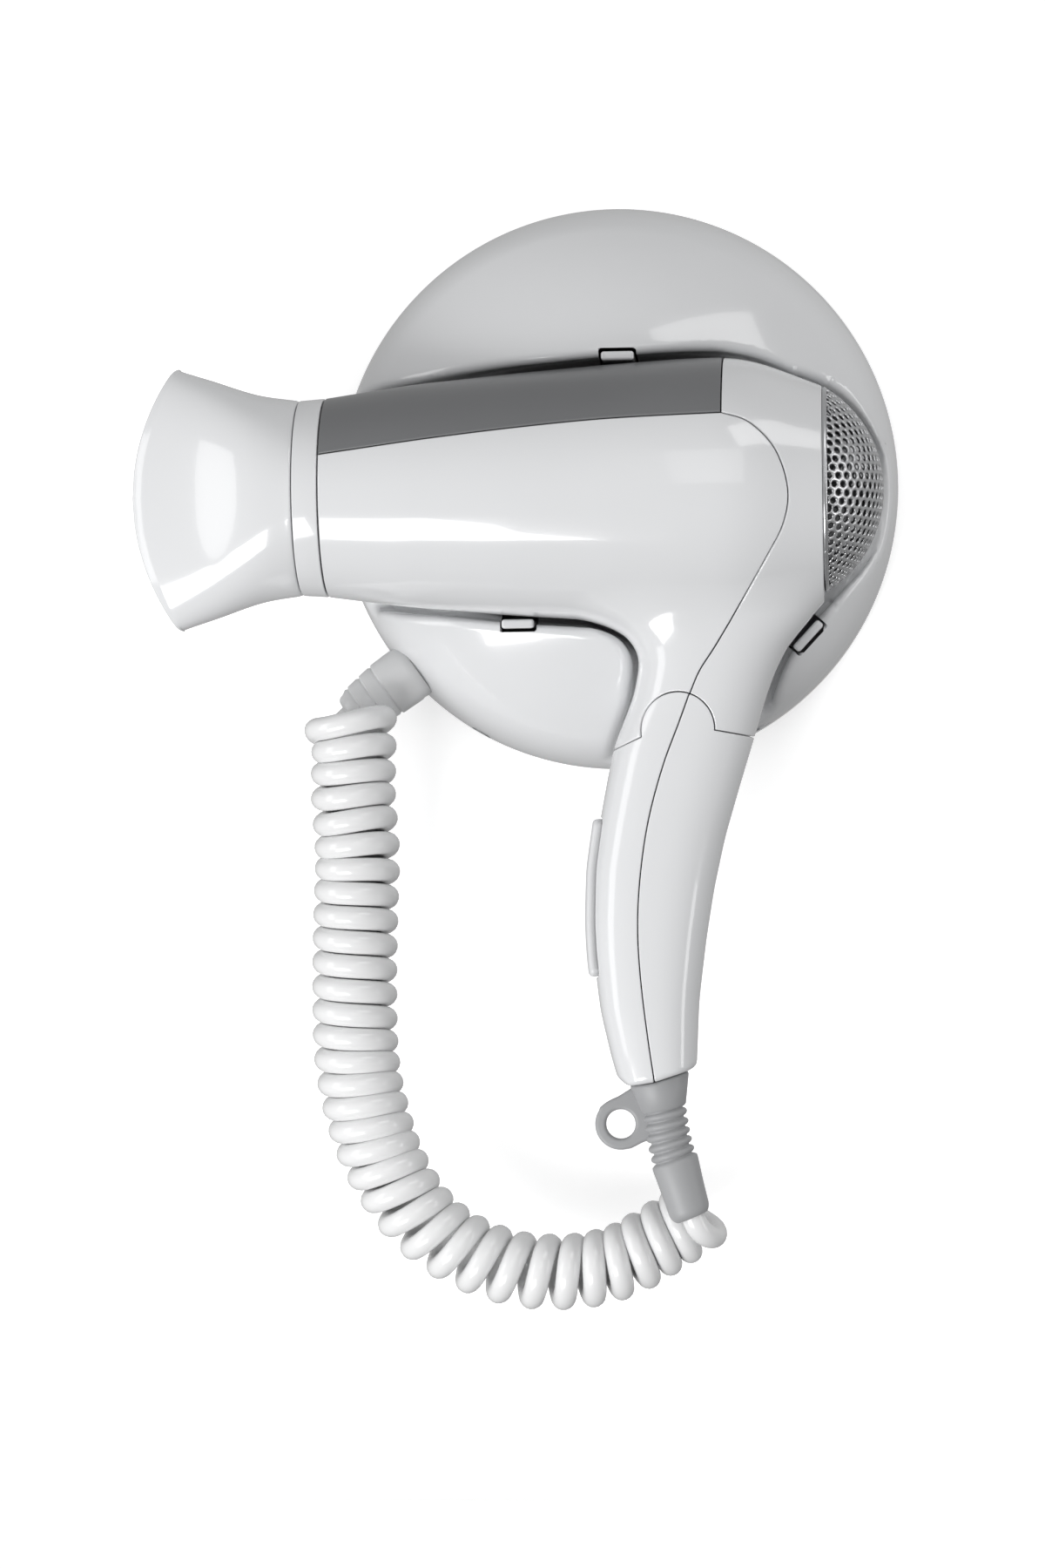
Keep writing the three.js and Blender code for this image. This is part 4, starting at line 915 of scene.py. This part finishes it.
def build_handle_relief():
    """The grey boot with its ribs, and the flat hanging loop moulded to it."""
    line = catmull([(x, AXIS_Y, z) for x, z in RELIEF_PATH], 12)
    along = length_along(line)
    total = along[-1]
    collar = 1.2
    profile = [(-9, 4.5), (0.4, 4.5), (0.4, 8.3), (collar, 8.4), (4.2, 7.7), (8.6, 6.55), (9.0, 6.1)]
    for rib in range(RIB_COUNT):
        for share in np.linspace(0, 1, 9):
            swell = math.sin(math.pi * share) ** 0.7
            at = RIB_START + rib * RIB_PITCH + share * (RIB_PITCH - 0.4)
            profile.append((at, RIB_VALLEY + RIB_HEIGHT * swell))
    end = RIB_START + RIB_COUNT * RIB_PITCH
    profile += [(end, 6.0), (end + 0.5, 6.75), (end + 1.2, 6.85), (total - 9, 6.35), (total - 4, 6.1)]
    profile += [(total - 3.4 + 3.4 * sine, 6.1 - 2.1 * drop) for sine, drop in quarter_round(7, 0.15)]
    profile += [(total - 0.2, 3.6), (total - 3, 3.5)]
    foot = np.array(HANDLE_FOOT)

    def on_line(place):
        return np.array([np.interp(place, along, line[:, k]) for k in (0, 2)])

    rings = []
    for place, radius in profile:
        x, z = on_line(place)
        ahead = on_line(place + 0.5) - on_line(place - 0.5)
        way = unit(np.array([ahead[0] + RIB_LEAN, 0, ahead[1]])) if place > collar else np.array(COLLAR_WAY)
        centre = np.array([x, AXIS_Y, z + max(0, -place)])
        ring = ring_about(centre, way, np.array([0, 1.0, 0]), radius, 72)
        if 0 < place <= collar:
            ring[:, 2] = np.interp(ring[:, 0], foot[:, 0], foot[:, 1]) - place
        rings.append(ring)
    points, faces = rings_mesh(rings)
    loop_points, loop_faces = hanging_loop()
    faces += (loop_faces + len(points)).tolist()
    points = np.vstack([points, loop_points])
    make("handle_strain_relief_boot", "dryer", "mid_grey_rubber", BOOT_GREY, points, faces,
        node="handle_strain_relief")


def hanging_loop():
    """A flat ring with a rounded rim on a tapering web."""
    web = outline(LOOP_WEB)

    def field(p):
        r = np.hypot(p[:, 0] - LOOP_CENTRE[0], p[:, 2] - LOOP_CENTRE[1])
        flat = either(r - LOOP_R, web(p), 0.8)
        plate = both(flat, np.abs(p[:, 1] - AXIS_Y) - LOOP_HALF_T, LOOP_ROUNDING)
        return both(plate, LOOP_HOLE - r, LOOP_ROUNDING)

    return surface(field, (-9, AXIS_Y - 3, -195), (14.5, AXIS_Y + 3, -172), 0.6)


def build_holder_relief():
    """The white boot out of the holder: four rounded steps, each thinner than the last."""
    steps = [(0, 8.2, 8.75, 8.6), (8.2, 4.6, 8.35, 8.0), (12.8, 4.5, 7.75, 7.35), (17.3, 4.4, 7.1, 6.2)]
    profile = [(-5.2, 3.6), (-5.2, 8.4), (-4.4, 8.6), (-3.4, 8.4), (-3.4, 6.1), (-2.7, 6.1), (-2.7, 8.75)]
    for number, (start, length, first, last) in enumerate(steps):
        lip = 0.55 if number < len(steps) - 1 else 1.9
        profile += [(start + 0.35, first - 0.25), (start + 0.8, first)]
        end = start + length - lip - 0.1
        profile += [(end + lip * sine, last - lip * drop) for sine, drop in quarter_round(6)]
        if number < len(steps) - 1:
            profile.append((end + lip + 0.2, last - lip - 0.1))
    profile += [(HOLDER_RELIEF_LENGTH + 0.1, 3.6), (HOLDER_RELIEF_LENGTH - 2, 3.5)]
    points, faces = turned(profile, HOLDER_RELIEF_FROM, HOLDER_RELIEF_WAY, 72, closed=False)
    return make("holder_strain_relief_boot", "holder", "white_plastic", SOFT_WHITE, points, faces,
        node="holder_strain_relief")


# ---- the curly cord ----


def helix_line():
    """The curl about the coil's middle line, from the left of the first turn to the back of the last."""
    route = catmull(COIL_ROUTE, 24)
    along = length_along(route)
    before, after = unit(route[0] - route[1]), unit(route[-1] - route[-2])
    spare = 20
    route = np.vstack([route[0] + before * spare, route, route[-1] + after * spare])
    along = np.concatenate([[-spare], along, [along[-1] + spare]])
    ways = unit(np.gradient(route, along, axis=0))
    pitch, radius, tilt = (eased(knots, 4.0) for knots in (PITCH, HELIX_RADIUS, LOOP_TILT))
    travel = np.linspace(HELIX_START, along[-2] + HELIX_PAST_END, 2000)
    turns = np.concatenate([[0], np.cumsum(np.diff(travel) / pitch(0.5 * (travel[1:] + travel[:-1])))])
    turns *= TURNS / turns[-1]
    phase = np.arange(0, TURNS, 1 / 36)
    s = np.interp(phase, turns, travel)
    angle = 2 * np.pi * (phase - 0.25)
    centre = np.stack([np.interp(s, along, route[:, k]) for k in range(3)], 1)
    way = unit(np.stack([np.interp(s, along, ways[:, k]) for k in range(3)], 1))
    back = np.array([[0, 1.0, 0]])
    side = unit(np.cross(way, back))
    offset = radius(s)[:, None] * (np.sin(angle)[:, None] * side - np.cos(angle)[:, None] * back)
    lean = (-tilt(s) * np.sin(angle))[:, None] * way
    first_turn = np.exp(-((angle + np.pi / 2) / 1.1) ** 2)[:, None] * np.array(FIRST_TURN_SHIFT)
    return centre + offset + lean + first_turn


def even(points, spacing):
    """The same line with its points an even distance apart."""
    along = length_along(points)
    at = np.linspace(0, along[-1], int(along[-1] / spacing) + 1)
    return np.stack([np.interp(at, along, points[:, k]) for k in range(3)], 1)


def cord_line():
    """The strand's middle line from the holder's relief to the handle's relief."""
    line = even(catmull([*LEAD_START, *helix_line()[1::4], *LEAD_END], 8), 0.9)
    for _ in range(10):
        line[1:-1] = 0.5 * line[1:-1] + 0.25 * (line[:-2] + line[2:])
    return even(line, 1.7)


def build_cord(holder_relief):
    line = cord_line()
    ways = unit(np.gradient(line, axis=0))
    across = unit(np.cross(ways[0], (0, 0, 1)))
    rings = []
    for centre, way in zip(line, ways):
        across = unit(across - way * (across @ way))
        rings.append(ring_about(centre, way, across, STRAND_R, 18))
    points, faces = rings_mesh(rings)
    piece = make("curly_cord", None, "cord_white", CORD_WHITE, points, faces)
    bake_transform(piece)
    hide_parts("cord_lead_holder", "cord_coil", "cord_lead_dryer")


# ---- camera, lights and backdrop ----

CAMERA_AZIMUTH, CAMERA_ROLL = 4.0, 0.77
CAMERA_AIM, CAMERA_DISTANCE, CAMERA_LENS = Vector((-0.030, 0, -0.087)), 1.48, 113.84
STUDIO_GLOW = {"From Min": -0.8, "From Max": 0.1, "To Min": 0.24, "To Max": 0.42}


def build_camera():
    a, roll = math.radians(CAMERA_AZIMUTH), math.radians(CAMERA_ROLL)
    right, ahead = Vector((math.cos(a), math.sin(a), 0)), Vector((-math.sin(a), math.cos(a), 0))
    up = Vector((0, 0, 1))
    turned_right = right * math.cos(roll) - up * math.sin(roll)
    turned_up = right * math.sin(roll) + up * math.cos(roll)
    camera = bpy.data.objects.new("camera", bpy.data.cameras.new("camera"))
    camera.data.lens = CAMERA_LENS
    camera.data.sensor_width = 36
    camera.matrix_world = Matrix.Translation(CAMERA_AIM - ahead * CAMERA_DISTANCE) @ Matrix(
        (turned_right, turned_up, -ahead)).transposed().to_4x4()
    bpy.context.scene.collection.objects.link(camera)
    bpy.context.scene.camera = camera


def softbox(name, azimuth, elevation, distance, width, height, power):
    """A rectangular light facing the object from a direction. Azimuth 0 is in front, 90 is at the right."""
    a, e = math.radians(azimuth), math.radians(elevation)
    way = Vector((math.sin(a) * math.cos(e), -math.cos(a) * math.cos(e), math.sin(e)))
    data = bpy.data.lights.new(name, "AREA")
    data.shape, data.size, data.size_y, data.energy = "RECTANGLE", width, height, power
    lamp = bpy.data.objects.new(name, data)
    lamp.location = CAMERA_AIM + way * distance
    lamp.rotation_mode = "QUATERNION"
    lamp.rotation_quaternion = way.to_track_quat("Z", "Y")
    bpy.context.scene.collection.objects.link(lamp)


def build_light():
    """A studio that is brighter above than below, with five softboxes."""
    world = bpy.data.worlds.new("studio")
    world.use_nodes = True
    nodes, links = world.node_tree.nodes, world.node_tree.links
    place, height = nodes.new("ShaderNodeTexCoord"), nodes.new("ShaderNodeSeparateXYZ")
    fade = nodes.new("ShaderNodeMapRange")
    links.new(place.outputs["Generated"], height.inputs["Vector"])
    links.new(height.outputs["Z"], fade.inputs["Value"])
    for socket, value in STUDIO_GLOW.items():
        fade.inputs[socket].default_value = value
    links.new(fade.outputs["Result"], nodes["Background"].inputs["Strength"])
    nodes["Background"].inputs["Color"].default_value = (1, 1, 1, 1)
    bpy.context.scene.world = world
    softbox("key_low_left", -35, -32, 1.3, 0.8, 0.5, 11)
    softbox("key_left", -64, 2, 1.4, 0.45, 1.1, 3.6)
    softbox("front_fill", 8, 20, 2.4, 1.2, 1.2, 4)
    softbox("top_right", 40, 46, 1.5, 0.8, 0.5, 3.2)
    softbox("right_strip", 74, 5, 1.5, 0.3, 1.1, 3.2)


def build_backdrop():
    """A white wall just behind the holder, seen only from its front, and a floor far below."""
    material = bpy.data.materials.new("backdrop_white")
    material.use_nodes = True
    nodes, links = material.node_tree.nodes, material.node_tree.links
    nodes.remove(nodes["Principled BSDF"])
    diffuse, glow = nodes.new("ShaderNodeBsdfDiffuse"), nodes.new("ShaderNodeEmission")
    diffuse.inputs["Color"].default_value = (0.9, 0.9, 0.9, 1)
    glow.inputs["Strength"].default_value = 0.5
    lit, clear = nodes.new("ShaderNodeAddShader"), nodes.new("ShaderNodeBsdfTransparent")
    choice = nodes.new("ShaderNodeMixShader")
    path, front = nodes.new("ShaderNodeLightPath"), nodes.new("ShaderNodeNewGeometry")
    seen = nodes.new("ShaderNodeMath")
    seen.operation = "SUBTRACT"
    seen.use_clamp = True
    links.new(path.outputs["Is Camera Ray"], seen.inputs[0])
    links.new(front.outputs["Backfacing"], seen.inputs[1])
    for node, into, number in ((diffuse, lit, 0), (glow, lit, 1), (seen, choice, 0), (clear, choice, 1),
            (lit, choice, 2)):
        links.new(node.outputs[0], into.inputs[number])
    links.new(choice.outputs[0], nodes["Material Output"].inputs["Surface"])
    for name, corners in {
        "backdrop_wall": [(-3, 0.001, -3), (3, 0.001, -3), (3, 0.001, 3), (-3, 0.001, 3)],
        "studio_floor": [(-3, -3, -0.3), (3, -3, -0.3), (3, 3, -0.3), (-3, 3, -0.3)],
    }.items():
        mesh = bpy.data.meshes.new(name)
        mesh.from_pydata(corners, [], [(0, 1, 2, 3)])
        mesh.materials.append(material)
        plane = bpy.data.objects.new(name, mesh)
        bpy.context.scene.collection.objects.link(plane)


# ---- the whole ----

bpy.context.scene.view_settings.view_transform = "Standard"
build_camera()
build_light()
build_backdrop()
dress_cad_nodes()
build_cord(build_holder_relief())
build_handle_relief()
build_casing()
build_cover()
for tab_name, tab_seat in TAB_SEATS.items():
    build_tab(tab_name, tab_seat)
build_nozzle()
build_ring()
build_grille()
